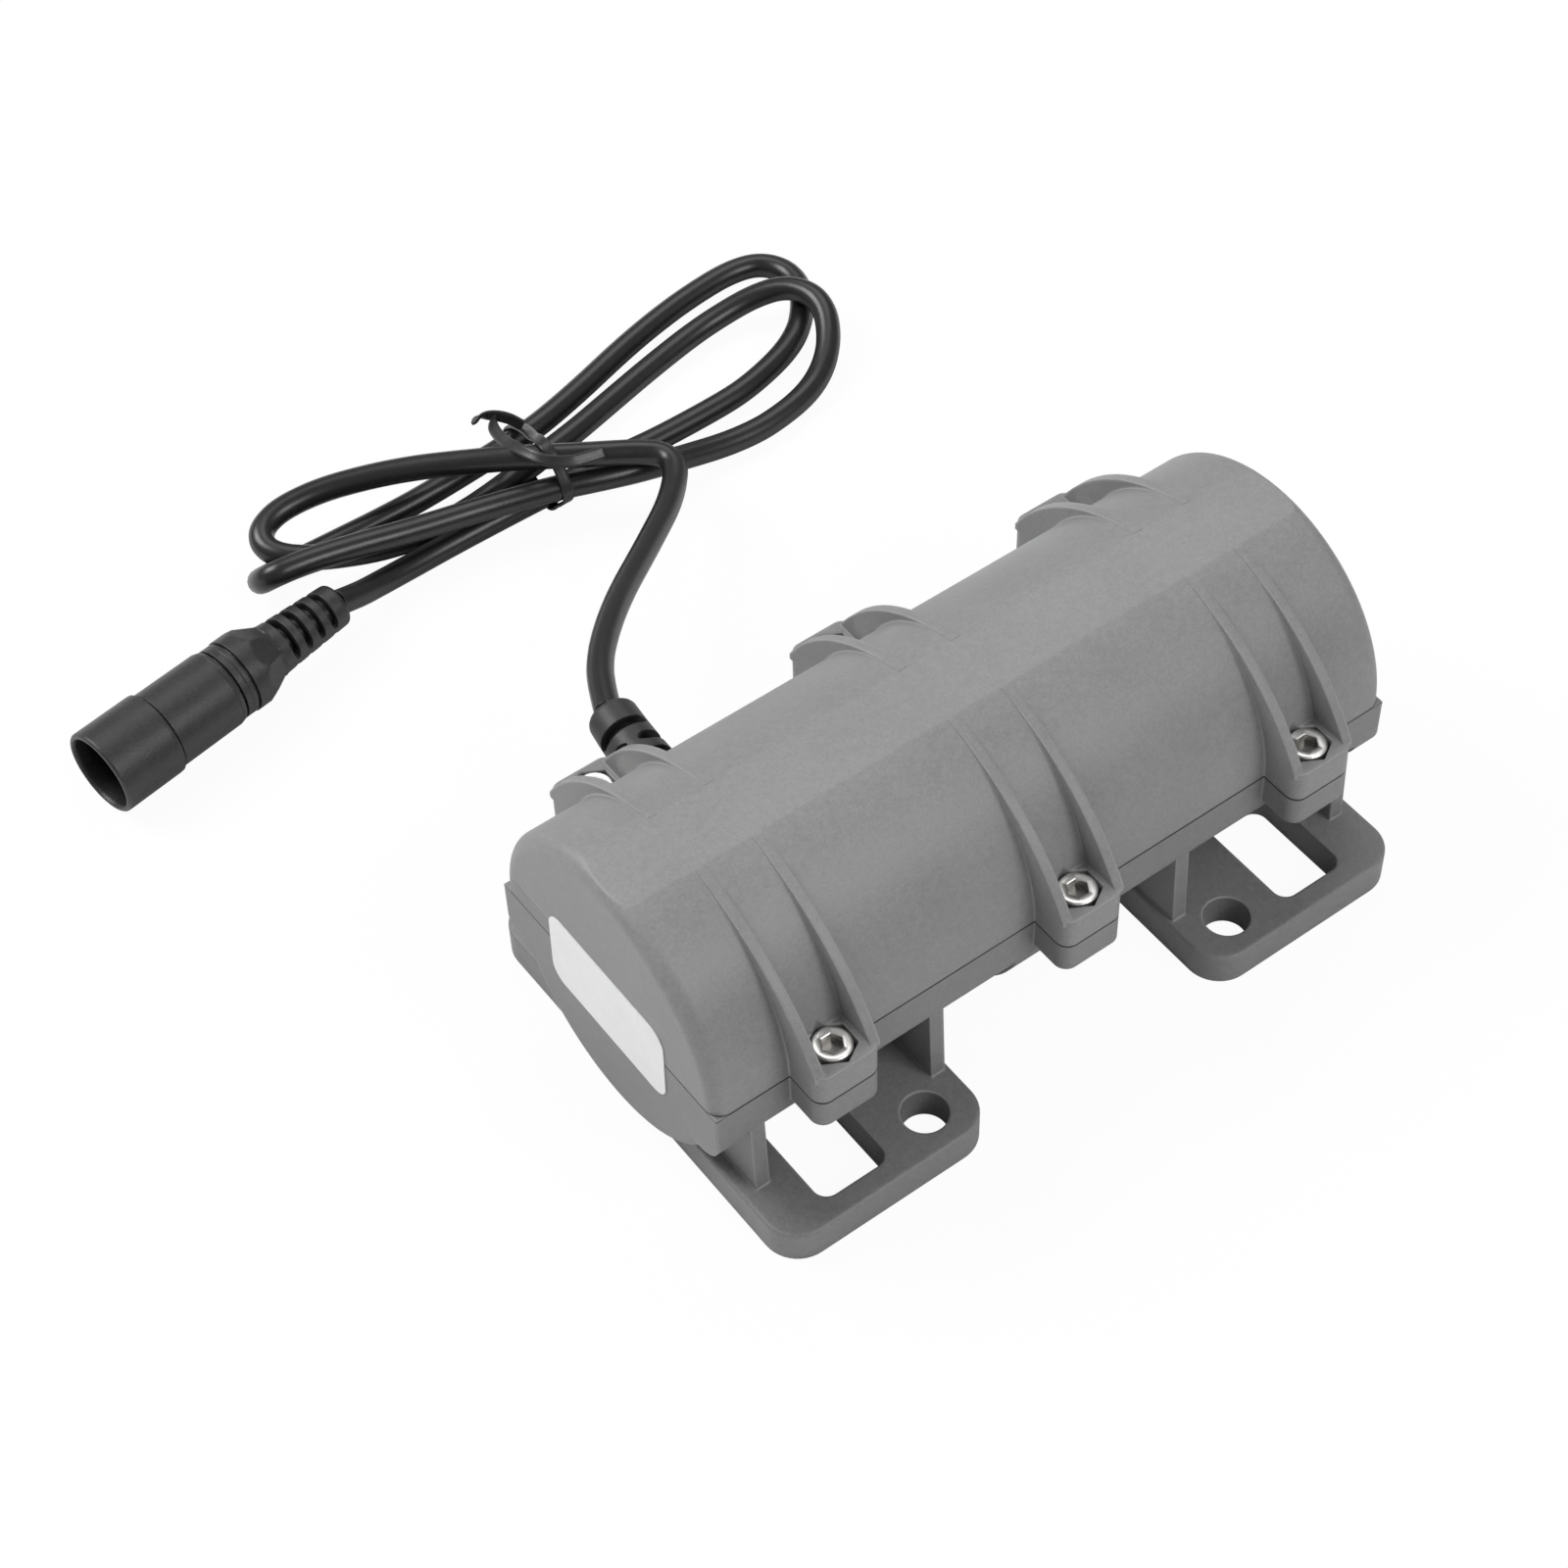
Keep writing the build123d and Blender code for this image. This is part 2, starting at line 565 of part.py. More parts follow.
def seal_loop(bottom, height, width):
    """Rectangular ring that runs in the seam round the chamber."""
    length = BODY_LENGTH - 2 * SEAL_INSET
    depth = 2 * (BODY_RADIUS - SEAL_INSET)
    half = width / 2
    with BuildPart() as loop:
        with BuildSketch(Plane.XY.offset(bottom)):
            RectangleRounded(length + width, depth + width, SEAL_CORNER + half)
            RectangleRounded(length - width, depth - width, SEAL_CORNER - half, mode=Mode.SUBTRACT)
        extrude(amount=height)
    return loop.part


def make_lower_shell():
    """Lower half: trough, feet, gussets, lower lugs, seal groove."""
    with BuildPart() as lower_shell:
        add(shell_underside())
        add(foot_plates())
        add(gussets())
        add(lug_blocks(LUG_BOTTOM, SEAM_HEIGHT - LUG_BOTTOM))
        add(bar_along_x(-CHAMBER_LENGTH / 2, CHAMBER_LENGTH, CHAMBER_RADIUS), mode=Mode.SUBTRACT)
        nut_start = LUG_BOTTOM - OVERCUT
        nut_depth = NUT_TOP - nut_start
        add(hex_prisms(SCREW_PLACES, nut_start, nut_depth, NUT_HOLE_ACROSS_FLATS), mode=Mode.SUBTRACT)
        add(round_bars(SCREW_PLACES, NUT_TOP, NUT_ROOF, SCREW_HOLE_RADIUS), mode=Mode.SUBTRACT)
        add(motor_supports(above=False))
        add(relief_passage(), mode=Mode.SUBTRACT)
        add(seal_loop(SEAM_HEIGHT - SEAL_DEPTH, SEAL_DEPTH, SEAL_WIDTH), mode=Mode.SUBTRACT)
        add(locating_tongue())
    return lower_shell.part


def make_seam_seal():
    """Soft cord that fills the seal groove and stops at the strain relief."""
    with BuildPart() as seam_seal:
        add(seal_loop(SEAM_HEIGHT - SEAL_DEPTH, SEAL_DEPTH, SEAL_WIDTH))
        add(relief_passage(), mode=Mode.SUBTRACT)
    return seam_seal.part


def make_shell_screws():
    """Six socket-head screws."""
    head_bottom = SCREW_TOP - SCREW_HEAD_HEIGHT
    with BuildPart() as shell_screws:
        add(round_bars(SCREW_PLACES, head_bottom, SCREW_HEAD_HEIGHT, SCREW_HEAD_DIAMETER / 2))
        top_edges = shell_screws.edges().filter_by(GeomType.CIRCLE).group_by(Axis.Z)[-1]
        chamfer(top_edges, SCREW_HEAD_CHAMFER)
        socket_bottom = SCREW_TOP - SCREW_SOCKET_DEPTH
        sockets = hex_prisms(SCREW_PLACES, socket_bottom, SCREW_SOCKET_DEPTH, SCREW_SOCKET)
        add(sockets, mode=Mode.SUBTRACT)
        add(round_bars(SCREW_PLACES, head_bottom - SCREW_LENGTH, SCREW_LENGTH, SCREW_DIAMETER / 2))
    return shell_screws.part


def make_shell_nuts():
    """Six nuts in the undersides of the lower lugs."""
    with BuildPart() as shell_nuts:
        add(hex_prisms(SCREW_PLACES, NUT_TOP - NUT_HEIGHT, NUT_HEIGHT, NUT_ACROSS_FLATS))
        threads = round_bars(SCREW_PLACES, NUT_TOP - NUT_HEIGHT, NUT_HEIGHT, SCREW_DIAMETER / 2)
        add(threads, mode=Mode.SUBTRACT)
    return shell_nuts.part


def make_end_label():
    """Blank label on the near end face."""
    label_plane = Plane(
        origin=(-BODY_LENGTH / 2, 0, LABEL_CENTRE_Z), x_dir=(0, -1, 0), z_dir=(-1, 0, 0)
    )
    with BuildPart() as end_label:
        with BuildSketch(label_plane):
            with Locations(Rotation(0, 0, LABEL_TILT)):
                RectangleRounded(LABEL_WIDTH, LABEL_HEIGHT, LABEL_CORNER)
        extrude(amount=LABEL_THICKNESS)
    return end_label.part


def make_end_bell(side):
    """End bell with a bearing seat; side is -1 or 1 along X."""
    face_x = side * MOTOR_LENGTH / 2
    flange_x = face_x - side * BELL_FLANGE
    inner_x = side * BELL_INNER_X
    lip_x = face_x - side * BELL_LIP
    with BuildPart() as bell:
        add(tube_along_x(min(face_x, flange_x), BELL_FLANGE, CAN_DIAMETER / 2, SHAFT_EXIT_RADIUS))
        add(tube_along_x(min(flange_x, inner_x), BELL_SPIGOT, SPIGOT_RADIUS, SHAFT_EXIT_RADIUS))
        seat = bar_along_x(min(lip_x, inner_x), abs(lip_x - inner_x), BEARING_OUTER_DIAMETER / 2)
        add(seat, mode=Mode.SUBTRACT)
        if side < 0:
            wire_plane = Plane(origin=(face_x, WIRE_Y, SEAM_HEIGHT), x_dir=(0, 1, 0), z_dir=(1, 0, 0))
            with BuildSketch(wire_plane):
                Circle(WIRE_HOLE_RADIUS)
            extrude(amount=BELL_FLANGE + BELL_SPIGOT, mode=Mode.SUBTRACT)
    return bell.part


def bearing_start(side):
    """Lower X of the bearing on one side."""
    return side * BELL_INNER_X if side > 0 else -BELL_INNER_X - BEARING_WIDTH


def bearing_ring(side, outer, inner):
    """Bearing ring with the groove that the balls run in."""
    middle = bearing_start(side) + BEARING_WIDTH / 2
    with BuildPart() as ring:
        add(tube_along_x(bearing_start(side), BEARING_WIDTH, outer, inner))
        with BuildSketch(Plane.XZ):
            with Locations((middle, SEAM_HEIGHT + BALL_PITCH_RADIUS)):
                Circle(BALL_DIAMETER / 2 + BALL_CLEARANCE)
        revolve(axis=Axis((0, 0, SEAM_HEIGHT), (1, 0, 0)), mode=Mode.SUBTRACT)
    return ring.part


def make_bearing_balls(side):
    """Balls of one bearing, evenly spread."""
    with BuildPart() as balls:
        with Locations(along_x(bearing_start(side) + BEARING_WIDTH / 2)):
            with PolarLocations(BALL_PITCH_RADIUS, BALL_COUNT):
                Sphere(BALL_DIAMETER / 2)
    return balls.part


def make_stator_core():
    """Laminated ring with inward teeth."""
    root_radius = TOOTH_TIP_RADIUS - EMBED
    tooth_reach = STATOR_YOKE_RADIUS - root_radius + EMBED
    with BuildPart() as stator_core:
        with BuildSketch(along_x(-STATOR_LENGTH / 2)):
            Circle(SPIGOT_RADIUS)
            Circle(STATOR_YOKE_RADIUS, mode=Mode.SUBTRACT)
            with PolarLocations(root_radius, TOOTH_COUNT):
                Rectangle(tooth_reach, TOOTH_WIDTH, align=(Align.MIN, Align.CENTER))
                Rectangle(TOOTH_SHOE_DEPTH + EMBED, TOOTH_SHOE_WIDTH, align=(Align.MIN, Align.CENTER))
            Circle(TOOTH_TIP_RADIUS, mode=Mode.SUBTRACT)
        extrude(amount=STATOR_LENGTH)
    return stator_core.part


def make_stator_windings():
    """One coil round each stator tooth."""
    coil_length = STATOR_LENGTH + 2 * COIL_WALL + 2 * COIL_CLEARANCE
    coil_width = TOOTH_WIDTH + 2 * COIL_WALL
    depth = COIL_OUTER_RADIUS - COIL_INNER_RADIUS
    hole_length = STATOR_LENGTH + 2 * COIL_CLEARANCE
    hole_width = TOOTH_WIDTH + 2 * COIL_CLEARANCE
    with BuildPart() as stator_windings:
        for index in range(TOOTH_COUNT):
            turn = Plane(origin=(0, 0, SEAM_HEIGHT), x_dir=(1, 0, 0), z_dir=(0, 1, 0))
            tooth_plane = turn.rotated((index * 360 / TOOTH_COUNT, 0, 0)).offset(COIL_INNER_RADIUS)
            with BuildSketch(tooth_plane):
                RectangleRounded(coil_length, coil_width, COIL_WALL)
                Rectangle(hole_length, hole_width, mode=Mode.SUBTRACT)
            extrude(amount=depth)
    return stator_windings.part


def make_rotor_magnets():
    """Arc magnets on the rotor core."""
    cut = MAGNET_RADIUS + OVERCUT
    outward = (Align.MIN, Align.CENTER)
    with BuildPart() as rotor_magnets:
        with BuildSketch(along_x(-STATOR_LENGTH / 2)):
            Circle(MAGNET_RADIUS)
            Circle(ROTOR_CORE_RADIUS, mode=Mode.SUBTRACT)
            with PolarLocations(0, MAGNET_COUNT):
                Rectangle(cut, MAGNET_GAP, align=outward, mode=Mode.SUBTRACT)
        extrude(amount=STATOR_LENGTH)
    return rotor_magnets.part


def make_rotor_spacers():
    """Sleeves between the rotor core and the bearings."""
    length = BELL_INNER_X - STATOR_LENGTH / 2
    with BuildPart() as rotor_spacers:
        add(tube_along_x(STATOR_LENGTH / 2, length, SPACER_RADIUS, SHAFT_RADIUS))
        add(tube_along_x(-BELL_INNER_X, length, SPACER_RADIUS, SHAFT_RADIUS))
    return rotor_spacers.part


def make_weight(side):
    """Half-disc weight with a hub; its heavy half hangs down."""
    start_x = WEIGHT_INNER_X if side > 0 else -WEIGHT_OUTER_X
    place = [(side * WEIGHT_MIDDLE_X, 0)]
    hole_depth = WEIGHT_HUB_RADIUS + OVERCUT
    with BuildPart() as weight:
        with BuildSketch(along_x(start_x)):
            Circle(WEIGHT_RADIUS)
            size = 2 * WEIGHT_RADIUS
            Rectangle(size, WEIGHT_RADIUS, align=(Align.CENTER, Align.MAX), mode=Mode.INTERSECT)
            Circle(WEIGHT_HUB_RADIUS)
            Circle(SHAFT_RADIUS, mode=Mode.SUBTRACT)
        extrude(amount=WEIGHT_THICKNESS)
        add(round_bars(place, SEAM_HEIGHT, hole_depth, SET_SCREW_DIAMETER / 2), mode=Mode.SUBTRACT)
    return weight.part


def make_weight_set_screws():
    """Set screws that hold the weights on the shaft."""
    bottom = SEAM_HEIGHT + SHAFT_RADIUS
    top = SEAM_HEIGHT + WEIGHT_HUB_RADIUS - SET_SCREW_RECESS
    socket_floor = top - SET_SCREW_SOCKET_DEPTH
    places = [(-WEIGHT_MIDDLE_X, 0), (WEIGHT_MIDDLE_X, 0)]
    with BuildPart() as set_screws:
        add(round_bars(places, bottom, top - bottom, SET_SCREW_DIAMETER / 2))
        socket = hex_prisms(places, socket_floor, SET_SCREW_SOCKET_DEPTH, SET_SCREW_SOCKET)
        add(socket, mode=Mode.SUBTRACT)
    return set_screws.part


def make_driver_chips():
    """Chips in a ring on the driver board."""
    with BuildPart() as driver_chips:
        with BuildSketch(along_x(BOARD_FACE_X)):
            with PolarLocations(CHIP_RADIUS, CHIP_COUNT):
                Rectangle(CHIP_WIDTH, CHIP_LENGTH)
        extrude(amount=CHIP_HEIGHT)
    return driver_chips.part


def make_lead_wires():
    """Two wires from the cord's inner end to the driver board."""
    with BuildPart() as lead_wires:
        for side in (-1, 1):
            z = SEAM_HEIGHT + side * WIRE_SPACING / 2
            start = (RELIEF_X, COLLAR_START_Y, z)
            turn = (RELIEF_X, WIRE_Y, z)
            end = (-BELL_INNER_X, WIRE_Y, z)
            with BuildLine():
                path = FilletPolyline(start, turn, end, radius=WIRE_BEND)
            with BuildSketch(Plane(origin=path @ 0, z_dir=path % 0)):
                Circle(WIRE_DIAMETER / 2)
            sweep(path=path)
    return lead_wires.part


def relief_half_profile():
    """Half section of the strain relief: across, then along +Y."""
    return [
        (CORD_BORE_RADIUS, COLLAR_START_Y),
        (RELIEF_COLLAR_RADIUS, COLLAR_START_Y),
        (RELIEF_COLLAR_RADIUS, CHAMBER_RADIUS),
        (RELIEF_NECK_RADIUS, CHAMBER_RADIUS),
        (RELIEF_NECK_RADIUS, RELIEF_SHOULDER_Y),
        (RELIEF_RADIUS, RELIEF_SHOULDER_Y),
        (RELIEF_TIP_RADIUS, RELIEF_TIP_Y),
        (CORD_BORE_RADIUS, RELIEF_TIP_Y),
    ]


def make_cord_relief():
    """Soft sleeve with staggered slots that lets the cord bend."""
    first_slot_y = RELIEF_SHOULDER_Y + RELIEF_SLOT_PITCH
    with BuildPart() as cord_relief:
        with BuildSketch(Plane(origin=(RELIEF_X, 0, SEAM_HEIGHT), x_dir=(1, 0, 0), z_dir=(0, 0, 1))):
            with BuildLine():
                Polyline(*relief_half_profile(), close=True)
            make_face()
        revolve(axis=Axis((RELIEF_X, 0, SEAM_HEIGHT), (0, 1, 0)))
        for index in range(RELIEF_SLOT_RINGS):
            y = first_slot_y + index * RELIEF_SLOT_PITCH
            start = 90 * (index % 2) - RELIEF_SLOT_ARC / 2
            for turn in (0, 180):
                ring_plane = Plane(origin=(RELIEF_X, y, SEAM_HEIGHT), x_dir=(1, 0, 0), z_dir=(0, 1, 0))
                with BuildSketch(ring_plane):
                    with BuildLine():
                        outer = CenterArc((0, 0), 2 * RELIEF_RADIUS, start + turn, RELIEF_SLOT_ARC)
                        inner = CenterArc((0, 0), RELIEF_SLOT_FLOOR, start + turn, RELIEF_SLOT_ARC)
                        Line(outer @ 0, inner @ 0)
                        Line(outer @ 1, inner @ 1)
                    make_face()
                extrude(amount=RELIEF_SLOT_WIDTH, mode=Mode.SUBTRACT)
    return cord_relief.part


def route_radii(points):
    """Radius of the arc at each inner point: as large as its two runs allow."""
    radii = []
    for before, here, after in zip(points, points[1:], points[2:]):
        run_in = Vector(*here) - Vector(*before)
        run_out = Vector(*after) - Vector(*here)
        turn = math.radians(run_in.get_angle(run_out))
        radii.append(RUN_SHARE * min(run_in.length, run_out.length) / math.tan(turn / 2))
    return radii


def make_cord_tube(points):
    """Round cord along straight runs joined by tangent arcs."""
    radii = route_radii(points)
    with BuildPart() as tube:
        with BuildLine():
            path = FilletPolyline(*points, radius=radii)
        with BuildSketch(Plane(origin=path @ 0, z_dir=path % 0)):
            Circle(CORD_DIAMETER / 2)
        sweep(path=path)
    return tube.part


def make_cord_hank():
    """Closed outer form of the figure-eight hank."""
    lobes = ((HANK_LEFT, HANK_LEFT_RADIUS), (HANK_RIGHT, HANK_RIGHT_RADIUS))
    with BuildPart() as cord_hank:
        for centre, radius in lobes:
            with BuildSketch(Plane.XY.offset(HANK_BOTTOM)):
                with Locations(centre):
                    Circle(radius)
                with Locations(HANK_WAIST):
                    Circle(HANK_WAIST_RADIUS)
                make_hull()
            extrude(amount=HANK_THICKNESS)
    return cord_hank.part


def make_cord_tie():
    """Band round the waist of the hank."""
    inner_width = 2 * (HANK_WAIST_RADIUS + TIE_SLACK)
    outer_height = HANK_THICKNESS + 2 * TIE_THICKNESS
    with BuildPart() as cord_tie:
        corner = (HANK_WAIST[0] - TIE_WIDTH / 2, HANK_WAIST[1], 0)
        with BuildSketch(Plane(origin=corner, x_dir=(0, 1, 0), z_dir=(1, 0, 0))):
            with Locations((0, outer_height / 2)):
                Rectangle(inner_width + 2 * TIE_THICKNESS, outer_height)
                Rectangle(inner_width, HANK_THICKNESS, mode=Mode.SUBTRACT)
        extrude(amount=TIE_WIDTH)
    return cord_tie.part


def jack_direction():
    """Direction from the cord to the socket's mouth."""
    angle = math.radians(JACK_ANGLE)
    return Vector(math.cos(angle), math.sin(angle), 0)


def jack_section_plane():
    """Plane through the socket's axis: local X across, local Y along."""
    across = Vector(0, 0, 1)
    return Plane(origin=CORD_OUT_POINTS[0], x_dir=across, z_dir=across.cross(jack_direction()))


def jack_turned(points):
    """Turned piece on the socket's axis from a half section (across, along)."""
    with BuildPart() as turned:
        with BuildSketch(jack_section_plane()):
            with BuildLine():
                Polyline(*points, close=True)
            make_face()
        revolve(axis=Axis(CORD_OUT_POINTS[0], jack_direction()))
    return turned.part


def jack_tube(start, end, outer, inner):
    """Plain tube or bar on the socket's axis."""
    return jack_turned([(inner, start), (outer, start), (outer, end), (inner, end)])


def make_jack_housing():
    """Moulded body with its own slotted relief and two ring grooves."""
    axis_plane = Plane(origin=CORD_OUT_POINTS[0], x_dir=(0, 0, 1), z_dir=jack_direction())
    with BuildPart() as jack_housing:
        add(
            jack_turned(
                [
                    (0, JACK_CORD_DEPTH),
                    (CORD_BORE_RADIUS, JACK_CORD_DEPTH),
                    (CORD_BORE_RADIUS, 0),
                    (JACK_RELIEF_TIP_RADIUS, 0),
                    (JACK_RELIEF_ROOT_RADIUS, JACK_RELIEF_LENGTH),
                    (JACK_BODY_RADIUS, JACK_BODY_START),
                    (JACK_BODY_RADIUS, JACK_BODY_END),
                    (JACK_INSERT_RADIUS, JACK_BODY_END),
                    (JACK_INSERT_RADIUS, JACK_INSERT_START),
                    (0, JACK_INSERT_START),
                ]
            )
        )
        for index in range(JACK_GROOVE_COUNT):
            start = JACK_BODY_START + index * JACK_GROOVE_PITCH + JACK_GROOVE_WIDTH
            floor = JACK_BODY_RADIUS - JACK_GROOVE_DEPTH
            groove = jack_tube(start, start + JACK_GROOVE_WIDTH, JACK_BODY_RADIUS + OVERCUT, floor)
            add(groove, mode=Mode.SUBTRACT)
        for index in range(JACK_SLOT_COUNT):
            along = JACK_SLOT_PITCH * (index + 0.5)
            with BuildSketch(axis_plane.offset(along)):
                for side in (-1, 1):
                    turn = 90 * (index % 2)
                    with Locations(Rotation(0, 0, turn)):
                        with Locations((side * (JACK_SLOT_FLOOR + JACK_BODY_RADIUS / 2), 0)):
                            Rectangle(JACK_BODY_RADIUS, 2 * JACK_BODY_RADIUS)
            extrude(amount=JACK_SLOT_WIDTH, mode=Mode.SUBTRACT)
    return jack_housing.part


def make_jack_insert():
    """Insulating core with the mouth that takes the plug."""
    return jack_turned(
        [
            (JACK_PIN_RADIUS, JACK_INSERT_START),
            (JACK_INSERT_RADIUS, JACK_INSERT_START),
            (JACK_INSERT_RADIUS, JACK_INSERT_END),
            (JACK_BARREL_RADIUS, JACK_INSERT_END),
            (JACK_BARREL_RADIUS, JACK_MOUTH_FLOOR),
            (JACK_PIN_RADIUS, JACK_MOUTH_FLOOR),
        ]
    )


def write_shells():
    """Housing pieces and what clamps them."""
    save(make_upper_shell(), "upper_shell")
    save(make_lower_shell(), "lower_shell")
    save(make_seam_seal(), "seam_seal")
    save(make_shell_screws(), "shell_screws")
    save(make_shell_nuts(), "shell_nuts")
    save(make_end_label(), "end_label")


def write_motor():
    """Still pieces of the motor."""
    save(tube_along_x(-CAN_LENGTH / 2, CAN_LENGTH, CAN_DIAMETER / 2, CAN_BORE / 2), "motor_can")
    for name, side in (("rear", -1), ("front", 1)):
        save(make_end_bell(side), name + "_end_bell")
        outer_ring = bearing_ring(side, BEARING_OUTER_DIAMETER / 2, OUTER_RING_RADIUS)
        save(outer_ring, name + "_bearing_outer_ring")
        save(make_bearing_balls(side), name + "_bearing_balls")
    save(make_stator_core(), "stator_core")
    save(make_stator_windings(), "stator_windings")
    board = tube_along_x(-BELL_INNER_X, BOARD_THICKNESS, SPIGOT_RADIUS, BOARD_BORE_RADIUS)
    save(board, "driver_board")
    save(make_driver_chips(), "driver_chips")
    save(make_lead_wires(), "lead_wires")


def write_rotor():
    """Pieces that turn together."""
    rotor_core = tube_along_x(-STATOR_LENGTH / 2, STATOR_LENGTH, ROTOR_CORE_RADIUS, SHAFT_RADIUS)
    save(rotor_core, "rotor_core")
    save(make_rotor_magnets(), "rotor_magnets")
    save(make_rotor_spacers(), "rotor_spacers")
    with BuildPart() as shaft:
        with BuildSketch(along_x(-SHAFT_LENGTH / 2)):
            Circle(SHAFT_RADIUS)
        extrude(amount=SHAFT_LENGTH)
        chamfer(shaft.edges().filter_by(GeomType.CIRCLE), SHAFT_CHAMFER)
    save(shaft.part, "shaft")
    for name, side in (("rear", -1), ("front", 1)):
        inner_ring = bearing_ring(side, INNER_RING_RADIUS, SHAFT_RADIUS)
        save(inner_ring, name + "_bearing_inner_ring")
        save(make_weight(side), name + "_weight")
    save(make_weight_set_screws(), "weight_set_screws")


def write_cord():
    """Cord, strain relief, hank, tie and socket."""
    save(make_cord_relief(), "cord_relief")
    entry_length = RELIEF_TIP_Y - COLLAR_START_Y
    save(cylinder_along_y(COLLAR_START_Y, entry_length, CORD_DIAMETER / 2), "cord_entry")
    save(make_cord_tube(CORD_IN_POINTS), "cord_lead_in")
    save(make_cord_hank(), "cord_hank")
    save(make_cord_tie(), "cord_tie")
    save(make_cord_tube(CORD_OUT_POINTS), "cord_lead_out")
    save(make_jack_housing(), "jack_housing")
    save(jack_tube(JACK_BODY_END, JACK_LENGTH, JACK_COLLAR_RADIUS, JACK_INSERT_RADIUS), "jack_collar")
    save(make_jack_insert(), "jack_insert")
    contact = jack_tube(JACK_MOUTH_FLOOR, JACK_PIN_END, JACK_BARREL_RADIUS, JACK_MOUTH_RADIUS)
    save(contact, "jack_contact")
    save(jack_tube(JACK_INSERT_START, JACK_PIN_END, JACK_PIN_RADIUS, 0), "jack_pin")


os.makedirs("parts", exist_ok=True)
write_shells()
write_motor()
write_rotor()
write_cord()
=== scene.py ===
"""Looks of a clamshell vibration motor with a tied cord and a barrel connector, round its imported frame."""

import logging
import math
from dataclasses import dataclass, field
from enum import Enum

import bmesh
import bpy
import numpy as np
from mathutils import Matrix, Vector


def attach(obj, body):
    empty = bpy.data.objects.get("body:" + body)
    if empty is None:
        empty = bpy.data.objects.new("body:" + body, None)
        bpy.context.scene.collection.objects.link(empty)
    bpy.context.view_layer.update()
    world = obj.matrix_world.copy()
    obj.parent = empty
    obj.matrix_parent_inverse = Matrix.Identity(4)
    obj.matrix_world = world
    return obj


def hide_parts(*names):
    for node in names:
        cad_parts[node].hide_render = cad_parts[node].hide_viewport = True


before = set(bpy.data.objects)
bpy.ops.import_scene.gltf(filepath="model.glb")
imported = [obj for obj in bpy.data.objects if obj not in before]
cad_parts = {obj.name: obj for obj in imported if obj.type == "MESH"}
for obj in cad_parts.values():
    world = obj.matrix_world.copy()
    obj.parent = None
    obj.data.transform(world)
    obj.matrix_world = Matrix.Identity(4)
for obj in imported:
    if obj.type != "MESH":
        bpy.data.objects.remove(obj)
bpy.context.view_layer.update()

LOG = logging.getLogger("vibration_motor")
MM = 0.001
BASE = "base"
LEVEL = (1.0, 0.0, 0.0)
UPWARD = np.array([0.0, 0.0, 1.0])
WHITE = (1.0, 1.0, 1.0, 1.0)

SMOOTH_LIMIT = math.radians(40.0)
JOINED_LIMIT = math.radians(50.0)
ANGLES = np.arange(0.0, 360.0, 3.0)
COARSE_ANGLES = np.arange(0.0, 360.0, 5.0)
FINE_STEP = 0.13
COARSE_STEP = 0.3
EDGE_OFFSETS = np.array([-0.09, -0.03, 0.03, 0.09])
SLOT_WALL = 0.08
SLOT_END_ANGLE = 16.0
GROOVE_WALL = 0.06

FLOAT = "NodeSocketFloat"
VECTOR = "NodeSocketVector"
SEAM_COLOUR = (0.03, 0.03, 0.031, 1.0)
SEAM_HALF_WIDTH = 0.00012
SEAM_STEEPNESS = (0.6, 0.8)

Colour = tuple[float, float, float]
Point = tuple[float, float, float]
Profile = tuple[tuple[float, float], ...]
Piece = bpy.types.Object
Socket = bpy.types.NodeSocket


class Pattern(Enum):
    """The fine structure that a finish shows."""

    GRAIN = "even moulded or cast grain"
    STREAKS = "fine lines along one axis, as drawn or ground metal has"
    SHEETS = "thin stacked sheets across the shaft"
    STRANDS = "round wires lying side by side"


class Tree:
    """Short ways to add and join the nodes of one shader tree."""

    def __init__(self, tree: bpy.types.NodeTree) -> None:
        """Keeps the tree that the nodes go into."""
        self.tree = tree

    def add(self, kind: str, inputs: dict | None = None, **settings: object) -> bpy.types.Node:
        """Adds one node.

        Args:
            kind: Blender's type name of the node, without the ShaderNode it starts with.
            inputs: a number, colour or output socket for each named or numbered input.
            settings: the node's own choices, such as its operation.

        Returns:
            The new node.
        """
        node = self.tree.nodes.new("ShaderNode" + kind)
        for name, value in settings.items():
            setattr(node, name, value)
        for key, value in (inputs or {}).items():
            if isinstance(value, Socket):
                self.link(value, node.inputs[key])
            else:
                node.inputs[key].default_value = value
        return node

    def link(self, source: Socket, target: Socket) -> None:
        """Joins an output to an input."""
        self.tree.links.new(source, target)

    def maths(self, operation: str, first: object, second: object = 0.0, clamp: bool = False) -> Socket:
        """Adds a Math node on two values and returns its output."""
        inputs = {0: first, 1: second}
        return self.add("Math", inputs, operation=operation, use_clamp=clamp).outputs[0]

    def between(self, value: object, low: float, high: float, from_low: float = 0.0,
                from_high: float = 1.0) -> Socket:
        """Adds a Map Range node that carries a value from one span to another and returns its output."""
        inputs = {"Value": value, "From Min": from_low, "From Max": from_high, "To Min": low, "To Max": high}
        return self.add("MapRange", inputs).outputs[0]

    def blend(self, amount: object, first: object, second: object) -> Socket:
        """Adds a colour Mix node and returns its colour."""
        return self.add("Mix", {0: amount, 6: first, 7: second}, data_type="RGBA").outputs[2]


def rgba(colour: Colour) -> tuple[float, float, float, float]:
    """Returns the colour with full cover."""
    return (*colour, 1.0)


